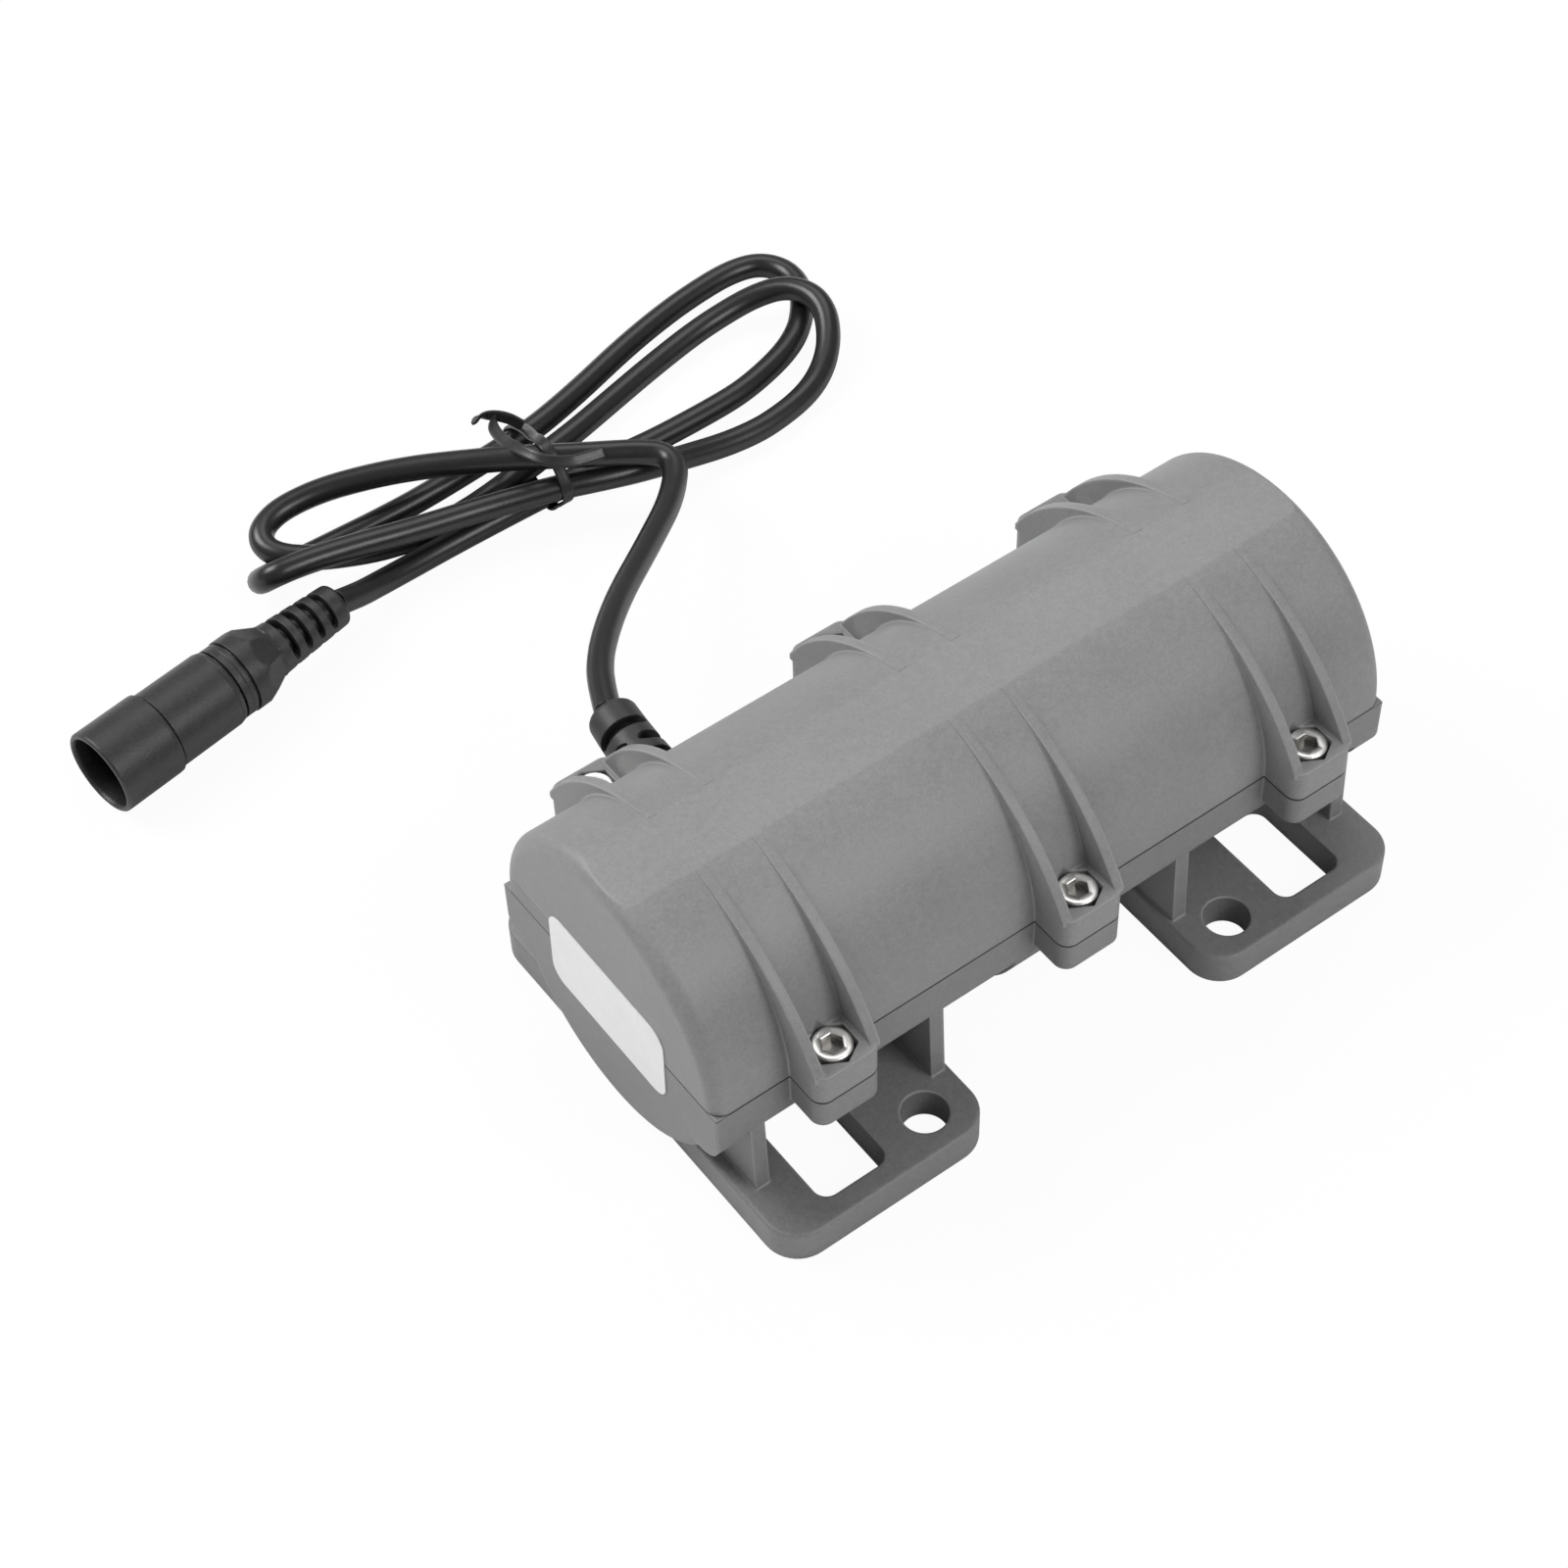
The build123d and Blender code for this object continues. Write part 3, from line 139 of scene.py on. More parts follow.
class Effects:
    """The node groups that several finishes share, each made once."""

    def __init__(self) -> None:
        """Builds every group."""
        self.grain = self._grain()
        self.streaks = self._streaks()
        self.mottle = self._mottle()
        self.edges = self._edges()

    @staticmethod
    def _open(name: str, inputs: dict[str, tuple[str, float]], outputs: dict[str, str]) -> tuple:
        """Starts a node group.

        Args:
            name: the group's name.
            inputs: socket type and first value of each named input.
            outputs: socket type of each named output.

        Returns:
            The group, its Tree, its input node and its output node.
        """
        group = bpy.data.node_groups.new(name, "ShaderNodeTree")
        for title, (kind, value) in inputs.items():
            socket = group.interface.new_socket(title, in_out="INPUT", socket_type=kind)
            if kind == FLOAT:
                socket.default_value = value
        for title, kind in outputs.items():
            group.interface.new_socket(title, in_out="OUTPUT", socket_type=kind)
        tree = Tree(group)
        return group, tree, group.nodes.new("NodeGroupInput"), group.nodes.new("NodeGroupOutput")

    def _grain(self) -> bpy.types.NodeTree:
        """Makes the grain: fine noise plus half as much of a noise 2.7 times coarser, as tone and height.

        Returns:
            The node group.
        """
        inputs = {"Vector": (VECTOR, 0.0), "Scale": (FLOAT, 2500.0)}
        outputs = {"Tone": FLOAT, "Height": FLOAT}
        group, tree, start, end = self._open("fine_grain", inputs, outputs)
        place = start.outputs["Vector"]
        scale = start.outputs["Scale"]
        coarse = tree.maths("DIVIDE", scale, 2.7)
        fine = tree.add("TexNoise",
                        {"Vector": place, "Scale": scale, "Detail": 2.0, "Roughness": 0.6})
        broad = tree.add("TexNoise", {"Vector": place, "Scale": coarse, "Detail": 1.0})
        total = tree.maths("ADD", fine.outputs[0], tree.maths("MULTIPLY", broad.outputs[0], 0.5))
        tone = tree.between(total, 0.0, 1.0, 0.45, 1.05)
        tree.link(tone, end.inputs["Tone"])
        tree.link(total, end.inputs["Height"])
        return group

    def _streaks(self) -> bpy.types.NodeTree:
        """Makes streaks: noise on coordinates squeezed along one axis, so that it draws out into lines.

        Returns:
            The node group.
        """
        inputs = {"Vector": (VECTOR, 0.0), "Scale": (FLOAT, 4000.0)}
        outputs = {"Tone": FLOAT, "Height": FLOAT}
        group, tree, start, end = self._open("drawn_streaks", inputs, outputs)
        squeezed = tree.add("VectorMath", {0: start.outputs["Vector"], 1: (0.04, 1.0, 1.0)},
                            operation="MULTIPLY")
        lines = {"Vector": squeezed.outputs[0], "Scale": start.outputs["Scale"], "Detail": 3.0,
                 "Roughness": 0.65}
        noise = tree.add("TexNoise", lines)
        tree.link(tree.between(noise.outputs[0], 0.0, 1.0, 0.3, 0.7), end.inputs["Tone"])
        tree.link(noise.outputs[0], end.inputs["Height"])
        return group

    def _mottle(self) -> bpy.types.NodeTree:
        """Makes soft clouds a few millimetres across, for uneven tone and gloss.

        Returns:
            The node group.
        """
        inputs = {"Vector": (VECTOR, 0.0), "Scale": (FLOAT, 90.0)}
        group, tree, start, end = self._open("soft_mottle", inputs, {"Tone": FLOAT})
        clouds = {"Vector": start.outputs["Vector"], "Scale": start.outputs["Scale"], "Detail": 3.0,
                  "Roughness": 0.5, "Distortion": 0.4}
        noise = tree.add("TexNoise", clouds)
        tree.link(tree.between(noise.outputs[0], 0.0, 1.0, 0.3, 0.7), end.inputs["Tone"])
        return group

    def _edges(self) -> bpy.types.NodeTree:
        """Makes the moulded round of an edge: its turned normal, and a mask of where it turns most.

        Returns:
            The node group.
        """
        inputs = {"Radius": (FLOAT, 0.0004)}
        outputs = {"Normal": VECTOR, "Mask": FLOAT}
        group, tree, start, end = self._open("rounded_edges", inputs, outputs)
        bevel = tree.add("Bevel", {"Radius": start.outputs["Radius"]}, samples=8)
        plain = tree.add("NewGeometry")
        dot = tree.add("VectorMath", {0: bevel.outputs[0], 1: plain.outputs["Normal"]},
                       operation="DOT_PRODUCT")
        tree.link(bevel.outputs[0], end.inputs["Normal"])
        tree.link(tree.between(dot.outputs["Value"], 1.0, 0.0, 0.75, 1.0), end.inputs["Mask"])
        return group


EFFECTS = Effects()


@dataclass(frozen=True)
class Finish:
    """One finish: two tones that its fine structure mixes, its gloss, its relief and its edges.

    Sizes are in metres, and scales in features per metre.
    """

    name: str
    dark: Colour
    light: Colour
    rough: tuple[float, float] = (0.5, 0.65)
    metallic: float = 0.0
    pattern: Pattern = Pattern.GRAIN
    scale: float = 2500.0
    depth: float = 0.00002
    mottle: float = 90.0
    mottle_share: float = 0.35
    edge_radius: float = 0.0003
    # Colour that rounded edges and inner corners blend towards: partly wear, partly painted highlight.
    edge_colour: Colour | None = None
    edge_share: float = 0.5
    specular: float = 0.5
    coat: float = 0.0
    # Colour of the painted shade in slots, sockets and mouths.
    recess_shade: Colour | None = None
    seam: float | None = None

    def build(self) -> bpy.types.Material:
        """Makes the material.

        Returns:
            A material whose colour, gloss and normal all follow the pattern, on Object coordinates.
        """
        material = bpy.data.materials.new(self.name)
        material.use_nodes = True
        tree = Tree(material.node_tree)
        shader = material.node_tree.nodes["Principled BSDF"]
        place = tree.add("TexCoord").outputs["Object"]
        tone, height = self._structure(tree, place)
        clouds = tree.add("Group", {"Vector": place, "Scale": self.mottle}, node_tree=EFFECTS.mottle)
        edges = tree.add("Group", {"Radius": self.edge_radius}, node_tree=EFFECTS.edges)
        cloudy = tree.maths("MULTIPLY", clouds.outputs["Tone"], self.mottle_share)
        shared = tree.maths("ADD", tree.maths("MULTIPLY", tone, 1.0 - self.mottle_share), cloudy, clamp=True)
        colour = tree.blend(shared, rgba(self.dark), rgba(self.light))
        # Edge wear and painted highlight: edges and inner corners blend towards the edge colour, lighter on the
        # grey and black finishes, darker on the label.
        if self.edge_colour is not None:
            edge_wear_and_highlight = tree.maths("MULTIPLY", edges.outputs["Mask"], self.edge_share)
            colour = tree.blend(edge_wear_and_highlight, colour, rgba(self.edge_colour))
        # Painted shade: a point attribute darkens slots, grooves, the connector's mouth and bore, and screw
        # sockets towards this colour.
        if self.recess_shade is not None:
            painted_shade = tree.add("Attribute", attribute_name="recess_shade").outputs["Fac"]
            colour = tree.blend(painted_shade, colour, rgba(self.recess_shade))
        if self.seam is not None:
            colour = tree.blend(self._seam_mask(tree, place), colour, SEAM_COLOUR)
        rough = tree.between(shared, self.rough[0], self.rough[1])
        relief = {"Height": height, "Distance": self.depth, "Normal": edges.outputs["Normal"]}
        bump = tree.add("Bump", relief)
        for name, socket in (("Base Color", colour), ("Roughness", rough), ("Normal", bump.outputs[0])):
            tree.link(socket, shader.inputs[name])
        shader.inputs["Metallic"].default_value = self.metallic
        shader.inputs["Specular IOR Level"].default_value = self.specular
        shader.inputs["Coat Weight"].default_value = self.coat
        return material

    def _seam_mask(self, tree: Tree, place: Socket) -> Socket:
        """Draws the parting line on upright faces.

        It is full within 0.12 mm of the parting height and fades out over 0.12 mm more. Level faces stay clear.

        Args:
            tree: the material's tree.
            place: the Object coordinates.

        Returns:
            The line's mask.
        """
        height = tree.add("SeparateXYZ", {0: place}).outputs["Z"]
        away = tree.maths("ABSOLUTE", tree.maths("SUBTRACT", height, self.seam))
        normal = tree.add("NewGeometry").outputs["True Normal"]
        level = tree.maths("ABSOLUTE", tree.add("SeparateXYZ", {0: normal}).outputs["Z"])
        upright = tree.between(level, 1.0, 0.0, *SEAM_STEEPNESS)
        line = tree.between(away, 1.0, 0.0, SEAM_HALF_WIDTH, 2 * SEAM_HALF_WIDTH)
        return tree.maths("MULTIPLY", line, upright)

    def _structure(self, tree: Tree, place: Socket) -> tuple:
        """Adds the fine structure of the pattern.

        Args:
            tree: the material's tree.
            place: the Object coordinates.

        Returns:
            Its tone and its height sockets.
        """
        if self.pattern in (Pattern.GRAIN, Pattern.STREAKS):
            source = EFFECTS.grain if self.pattern is Pattern.GRAIN else EFFECTS.streaks
            group = tree.add("Group", {"Vector": place, "Scale": self.scale}, node_tree=source)
            return group.outputs["Tone"], group.outputs["Height"]
        bands = {"Vector": place, "Scale": self.scale, "Distortion": 0.4, "Detail": 1.0, "Detail Scale": 2.0}
        direction = "X" if self.pattern is Pattern.SHEETS else "DIAGONAL"
        wave = tree.add("TexWave", bands, wave_type="BANDS", bands_direction=direction,
                        wave_profile="SIN")
        return wave.outputs["Fac"], wave.outputs["Fac"]


class Finishes:
    """Every finish of the object by its material slot, and the materials made from them so far."""

    def __init__(self) -> None:
        """Lists the finishes."""
        # Edge colours lighter than the tones are partly wear, partly painted highlight on edges and rib crests.
        grey = dict(rough=(0.4, 0.54), scale=2600.0, depth=0.00004, mottle=60.0, mottle_share=0.3,
                    seam=0.0245, edge_radius=0.0006, edge_colour=(0.46, 0.46, 0.463), edge_share=0.6,
                    specular=0.45)
        black = dict(scale=3200.0, edge_radius=0.0002, edge_colour=(0.06, 0.06, 0.062), edge_share=0.35)
        # Black with painted shade in its slots, mouth and bore.
        black_with_recess_shade = dict(recess_shade=(0.002, 0.002, 0.002), **black)
        steel = dict(metallic=1.0, pattern=Pattern.STREAKS, depth=0.000003, edge_radius=0.00015)
        finishes = (
            Finish("housing_upper", (0.195, 0.195, 0.198), (0.275, 0.275, 0.278), **grey),
            Finish("housing_lower", (0.165, 0.165, 0.168), (0.24, 0.24, 0.243), **grey),
            Finish("seal_rubber", (0.012, 0.012, 0.012), (0.03, 0.03, 0.03), (0.6, 0.8)),
            # The screws' recess colour is painted shade in the hex socket.
            Finish("screw_steel", (0.86, 0.85, 0.82), (0.93, 0.92, 0.89), (0.26, 0.36), 1.0, scale=5000.0,
                   depth=0.0000008, edge_radius=0.00015, recess_shade=(0.26, 0.25, 0.24)),
            Finish("nut_steel", (0.45, 0.45, 0.46), (0.68, 0.68, 0.7), (0.3, 0.45), **steel),
            Finish("label_paper", (0.78, 0.78, 0.79), (0.86, 0.86, 0.865), (0.3, 0.4), scale=1500.0,
                   depth=0.000004, edge_radius=0.0001, edge_colour=(0.6, 0.6, 0.6)),
            Finish("can_steel", (0.4, 0.4, 0.42), (0.6, 0.6, 0.62), (0.3, 0.45), **steel),
            Finish("bell_alloy", (0.5, 0.5, 0.51), (0.72, 0.72, 0.73), (0.4, 0.6), 1.0, depth=0.00002),
            Finish("bearing_steel", (0.6, 0.6, 0.62), (0.8, 0.8, 0.82), (0.15, 0.25), **steel),
            Finish("ball_chrome", (0.75, 0.75, 0.77), (0.85, 0.85, 0.87), (0.05, 0.12), 1.0),
            Finish("lamination_iron", (0.12, 0.12, 0.13), (0.32, 0.32, 0.34), (0.4, 0.6), 1.0,
                   pattern=Pattern.SHEETS, scale=700.0, depth=0.00005),
            Finish("winding_wire", (0.45, 0.16, 0.05), (0.8, 0.42, 0.2), (0.25, 0.4), 1.0,
                   pattern=Pattern.STRANDS, scale=650.0, depth=0.00012, coat=0.4),
            Finish("board_laminate", (0.01, 0.1, 0.035), (0.02, 0.17, 0.06), (0.3, 0.45), coat=0.3),
            Finish("chip_plastic", (0.008, 0.008, 0.008), (0.02, 0.02, 0.02), (0.5, 0.7)),
            Finish("wire_sheath", (0.35, 0.01, 0.01), (0.5, 0.02, 0.02), (0.35, 0.5)),
            Finish("rotor_iron", (0.25, 0.25, 0.26), (0.42, 0.42, 0.44), (0.35, 0.5), 1.0),
            Finish("magnet_metal", (0.5, 0.5, 0.5), (0.66, 0.66, 0.66), (0.2, 0.3), 1.0),
            Finish("spacer_alloy", (0.6, 0.6, 0.6), (0.78, 0.78, 0.78), (0.3, 0.4), 1.0),
            Finish("shaft_steel", (0.6, 0.6, 0.61), (0.78, 0.78, 0.79), (0.12, 0.25), **steel),
            Finish("weight_iron", (0.2, 0.2, 0.21), (0.34, 0.34, 0.35), (0.4, 0.6), 1.0),
            Finish("relief_rubber", (0.014, 0.014, 0.0145), (0.028, 0.028, 0.0285), (0.42, 0.54),
                   depth=0.00003, **black_with_recess_shade),
            Finish("cord_jacket", (0.008, 0.008, 0.0084), (0.015, 0.015, 0.0154), (0.28, 0.38),
                   depth=0.000006, **black),
            Finish("tie_plastic", (0.009, 0.009, 0.0094), (0.018, 0.018, 0.0184), (0.3, 0.42),
                   depth=0.00001, **black),
            Finish("jack_plastic", (0.012, 0.012, 0.0125), (0.032, 0.032, 0.0325), (0.36, 0.5),
                   depth=0.00004, **black_with_recess_shade),
            Finish("insert_plastic", (0.008, 0.008, 0.008), (0.018, 0.018, 0.018), (0.4, 0.55)),
            Finish("contact_metal", (0.6, 0.59, 0.55), (0.78, 0.77, 0.73), (0.2, 0.35), **steel),
            Finish("pin_brass", (0.6, 0.42, 0.16), (0.8, 0.6, 0.28), (0.2, 0.3), **steel),
        )
        self.listed = {finish.name: finish for finish in finishes}
        self.made: dict[str, bpy.types.Material] = {}

    def material(self, slot: str) -> bpy.types.Material:
        """Makes the material of a slot when it is first asked for.

        Args:
            slot: the material slot.

        Returns:
            The material.
        """
        if slot not in self.made:
            self.made[slot] = self.listed[slot].build()
        return self.made[slot]

    def dress(self, piece: Piece, slot: str) -> None:
        """Puts a slot's material on every material slot of a piece.

        Args:
            piece: the piece.
            slot: the slot whose finish it gets.
        """
        if not piece.material_slots:
            piece.data.materials.append(self.material(slot))
        for entry in piece.material_slots:
            entry.material = self.material(slot)


def placed(name: str, data: bpy.types.ID) -> Piece:
    """Makes an object and puts it in the scene.

    Args:
        name: the object's name.
        data: its mesh, curve, camera or lamp.

    Returns:
        The object.
    """
    made = bpy.data.objects.new(name, data)
    bpy.context.scene.collection.objects.link(made)
    return made


def grid_faces(rows: int, columns: int, wrapped: bool) -> np.ndarray:
    """Returns the four corners of each face of a stack of rings whose points are numbered ring by ring.

    Args:
        rows: how many rings.
        columns: how many points in a ring.
        wrapped: the last ring joins the first.

    Returns:
        One row of four point numbers for each face.
    """
    row, column = np.meshgrid(np.arange(rows if wrapped else rows - 1), np.arange(columns), indexing="ij")
    after_row = (row + 1) % rows
    after_column = (column + 1) % columns
    corners = (row * columns + column, row * columns + after_column,
               after_row * columns + after_column, after_row * columns + column)
    return np.stack(corners, axis=-1).reshape(-1, 4)


def shade_smooth(mesh: bpy.types.Mesh, limit: float) -> None:
    """Shades a mesh smooth but for its sharp edges.

    Args:
        mesh: the mesh.
        limit: the angle past which an edge is sharp.
    """
    mesh.polygons.foreach_set("use_smooth", np.ones(len(mesh.polygons), dtype=bool))
    mesh.set_sharp_from_angle(angle=limit)


def mesh_piece(name: str, points: np.ndarray, wrapped: bool = False) -> Piece:
    """Makes a smooth closed piece of a stack of rings, with a flat cap on each end.

    Args:
        name: the piece's name.
        points: rows x columns x 3 coordinates in metres.
        wrapped: the last ring joins the first, in place of the caps.

    Returns:
        The piece, at the origin.
    """
    rows, columns = points.shape[:2]
    faces = grid_faces(rows, columns, wrapped).tolist()
    if not wrapped:
        faces.append(list(range(columns - 1, -1, -1)))
        faces.append(list(range((rows - 1) * columns, rows * columns)))
    mesh = bpy.data.meshes.new(name)
    mesh.from_pydata(points.reshape(-1, 3).tolist(), [], faces)
    mesh.update()
    piece = placed(name, mesh)
    work = bmesh.new()
    work.from_mesh(mesh)
    bmesh.ops.recalc_face_normals(work, faces=work.faces)
    work.to_mesh(mesh)
    work.free()
    shade_smooth(mesh, SMOOTH_LIMIT)
    return piece


def mark_recess_shade(piece: Piece, depth: np.ndarray) -> None:
    """Stores how deep in a slot or mouth each point of a piece lies, as the amount of painted shade that it
    gets.

    Args:
        piece: the piece.
        depth: a depth for each point, ring by ring, where 0 is the outside and 1 or more gets the full painted
            shade.
    """
    attribute = piece.data.attributes.new("recess_shade", "FLOAT", "POINT")
    attribute.data.foreach_set("value", np.clip(depth, 0.0, 1.0).astype(np.float32).ravel())


def stations(start: float, end: float, step: float, edges: np.ndarray) -> np.ndarray:
    """Lists places along a sleeve, an even step apart, with four close ones at each edge of a slot or groove.

    Args:
        start: the first place.
        end: the last place, which may be the lower one.
        step: about how far the even ones are apart.
        edges: places of the edges.

    Returns:
        The places in order from start to end.
    """
    even = np.linspace(start, end, int(round(abs(end - start) / step)) + 1)
    close = (edges[:, None] + EDGE_OFFSETS).ravel()
    inside = close[(close > min(start, end)) & (close < max(start, end))]
    every = np.unique(np.round(np.concatenate((even, inside)), 4))
    return every if end > start else every[::-1]


def arc(centre: tuple[float, float], radius: float, first: float, last: float) -> np.ndarray:
    """Works out seven points of an arc: the centre plus the radius times the cosine and sine of their angles.

    Args:
        centre: (along, across) of the centre.
        radius: the arc's radius.
        first: angle of the first point in degrees from the axis.
        last: angle of the last point.

    Returns:
        One row of (along, across) for each point.
    """
    angle = np.radians(np.linspace(first, last, 7))
    return np.stack((centre[0] + radius * np.cos(angle), centre[1] + radius * np.sin(angle)), axis=-1)


def settle(piece: Piece, finishes: Finishes, slot: str, *nodes: str) -> Piece:
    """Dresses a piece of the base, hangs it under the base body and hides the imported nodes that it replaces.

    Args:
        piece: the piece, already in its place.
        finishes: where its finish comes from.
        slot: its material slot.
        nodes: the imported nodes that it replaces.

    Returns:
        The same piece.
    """
    finishes.dress(piece, slot)
    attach(piece, BASE)
    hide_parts(*nodes)
    return piece


@dataclass(frozen=True)
class SlotRing:
    """Slots cut across a round sleeve at one place along it: two arcs between two opposite bridges."""

    along: float
    width: float
    bridge: float
    bridge_width: float
    floor: float

    def cut(self, along: np.ndarray, radius: np.ndarray, angle: np.ndarray) -> np.ndarray:
        """Returns how far the surface sinks at every row and column.

        The sink is the radius less the slot's floor inside the slot and 0 outside. The slot's width shrinks
        to nothing at the bridges with the square root of the way to them, so that its ends are round.

        Args:
            along: place of each row.
            radius: radius of each row.
            angle: angle of each column in degrees.

        Returns:
            Rows x columns of depths.
        """
        turned = np.abs((angle - self.bridge + 90.0) % 180.0 - 90.0)
        room = np.clip((turned - self.bridge_width / 2) / SLOT_END_ANGLE, 0.0, 1.0)
        half = self.width / 2 * np.sqrt(room)[None, :]
        inside = half - np.abs(along - self.along)[:, None]
        across = np.clip(inside / SLOT_WALL + 0.5, 0.0, 1.0) * (room > 0.0)
        return across * np.maximum(radius - self.floor, 0.0)[:, None]


@dataclass(frozen=True)
class Groove:
    """A line cut all the way round a sleeve."""

    along: float
    width: float
    depth: float

    def cut(self, along: np.ndarray) -> np.ndarray:
        """Works out the sink: the depth inside the groove and 0 outside, with a short slope at each wall.

        Args:
            along: place of each row.

        Returns:
            How far the surface sinks at every row.
        """
        inside = self.width / 2 - np.abs(along - self.along)
        return self.depth * np.clip(inside / GROOVE_WALL + 0.5, 0.0, 1.0)


def walls(cuts: tuple[SlotRing | Groove, ...]) -> np.ndarray:
    """Returns the places of both walls of every slot or groove along the sleeve."""
    return np.array([cut.along + side * cut.width / 2 for cut in cuts for side in (-1, 1)])


def rings(centre: np.ndarray, side: np.ndarray, reach: np.ndarray, angle: np.ndarray) -> np.ndarray:
    """Works out the points of rings round a level axis.

    Each point lies at its reach from the row's centre, the sine of its angle to the side and the cosine up.

    Args:
        centre: centre of each row.
        side: level direction across the axis, one for all or one for each row.
        reach: rows x columns of distances from the centre.
        angle: angle of each column in degrees, from straight up towards the side.

    Returns:
        Rows x columns x 3 coordinates in metres.
    """
    turn = np.radians(angle)[None, :, None]
    return (centre[:, None, :] + reach[:, :, None] * (np.sin(turn) * side + np.cos(turn) * UPWARD)) * MM


@dataclass
class StrainRelief:
    """The rubber sleeve that the cord leaves the housing through, bent a little by the cord."""

    root: Point = (-28.8, 19.6, 24.5)
    shoulder: float = 22.4
    tip: float = 37.9
    bend: float = 1.3
    bore: float = 1.95
    bore_edge: float = 0.2
    bore_row: float = 3.0
    neck_radius: float = 3.1
    foot: Profile = ((0.0, 4.5), (0.25, 4.75), (0.8, 4.75), (1.1, 4.15))
    foot_length: float = 1.3
    root_radius: float = 4.0
    tip_radius: float = 3.5
    tip_round: float = 0.9
    dark_depth: float = 1.2
    slots: tuple[SlotRing, ...] = (
        SlotRing(33.0, 1.45, -113.0, 30.0, 2.4),
        SlotRing(29.8, 1.45, -14.0, 30.0, 2.4),
        SlotRing(26.6, 1.45, -113.0, 30.0, 2.4),
    )

    def _rows(self) -> np.ndarray:
        """Lays out the profile: neck, foot, evenly tapering outside, rounded tip, then back down the bore.

        Returns:
            (along, radius) of every row.
        """
        neck = [(self.root[1], self.neck_radius), (self.shoulder, self.neck_radius)]
        foot = [(self.shoulder + beyond, radius) for beyond, radius in self.foot]
        round_start = self.tip - self.tip_round
        along = stations(self.shoulder + self.foot_length, round_start, FINE_STEP, walls(self.slots))
        share = (along - self.shoulder) / (self.tip - self.shoulder)
        radius = self.root_radius + (self.tip_radius - self.root_radius) * share
        outside = np.stack((along, radius), axis=-1)
        tip = arc((round_start, self.tip_radius - self.tip_round), self.tip_round, 90.0, 0.0)
        bore = [(self.tip, self.bore + self.bore_edge), (self.tip - self.bore_edge, self.bore),
                (self.tip - self.bore_row, self.bore), (self.root[1], self.bore)]
        return np.concatenate((neck + foot, outside, tip[1:], bore))

    def build(self, finishes: Finishes) -> Piece:
        """Builds the sleeve as rings round a centre line that bends with the square of the way out.

        Each point lies at the row's radius, less the slots, from the centre line, at the column's angle.

        Args:
            finishes: where its finish comes from.

        Returns:
            The sleeve.
        """
        along, radius = self._rows().T
        depth = sum(slot.cut(along, radius, ANGLES) for slot in self.slots)
        length = self.tip - self.shoulder
        out = np.clip((along - self.shoulder) / length, 0.0, None)
        slope = 2.0 * self.bend * out / length
        steep = np.hypot(1.0, slope)
        side = np.stack((1.0 / steep, -slope / steep, np.zeros_like(slope)), axis=-1)
        across = self.root[0] + self.bend * out ** 2
        centre = np.stack((across, along, np.full_like(out, self.root[2])), axis=-1)
        points = rings(centre, side[:, None, :], radius[:, None] - depth, ANGLES)
        piece = mesh_piece("strain_relief", points, wrapped=True)
        # Painted shade in the slots, fuller where they cut deeper.
        mark_recess_shade(piece, depth / self.dark_depth)
        return settle(piece, finishes, "relief_rubber", "cord_relief")


@dataclass(frozen=True)
class Turning:
    """One round piece in the connector's mouth: a profile of (along, radius), closed if it is a tube."""

    name: str
    slot: str
    node: str
    closed: bool
    profile: Profile


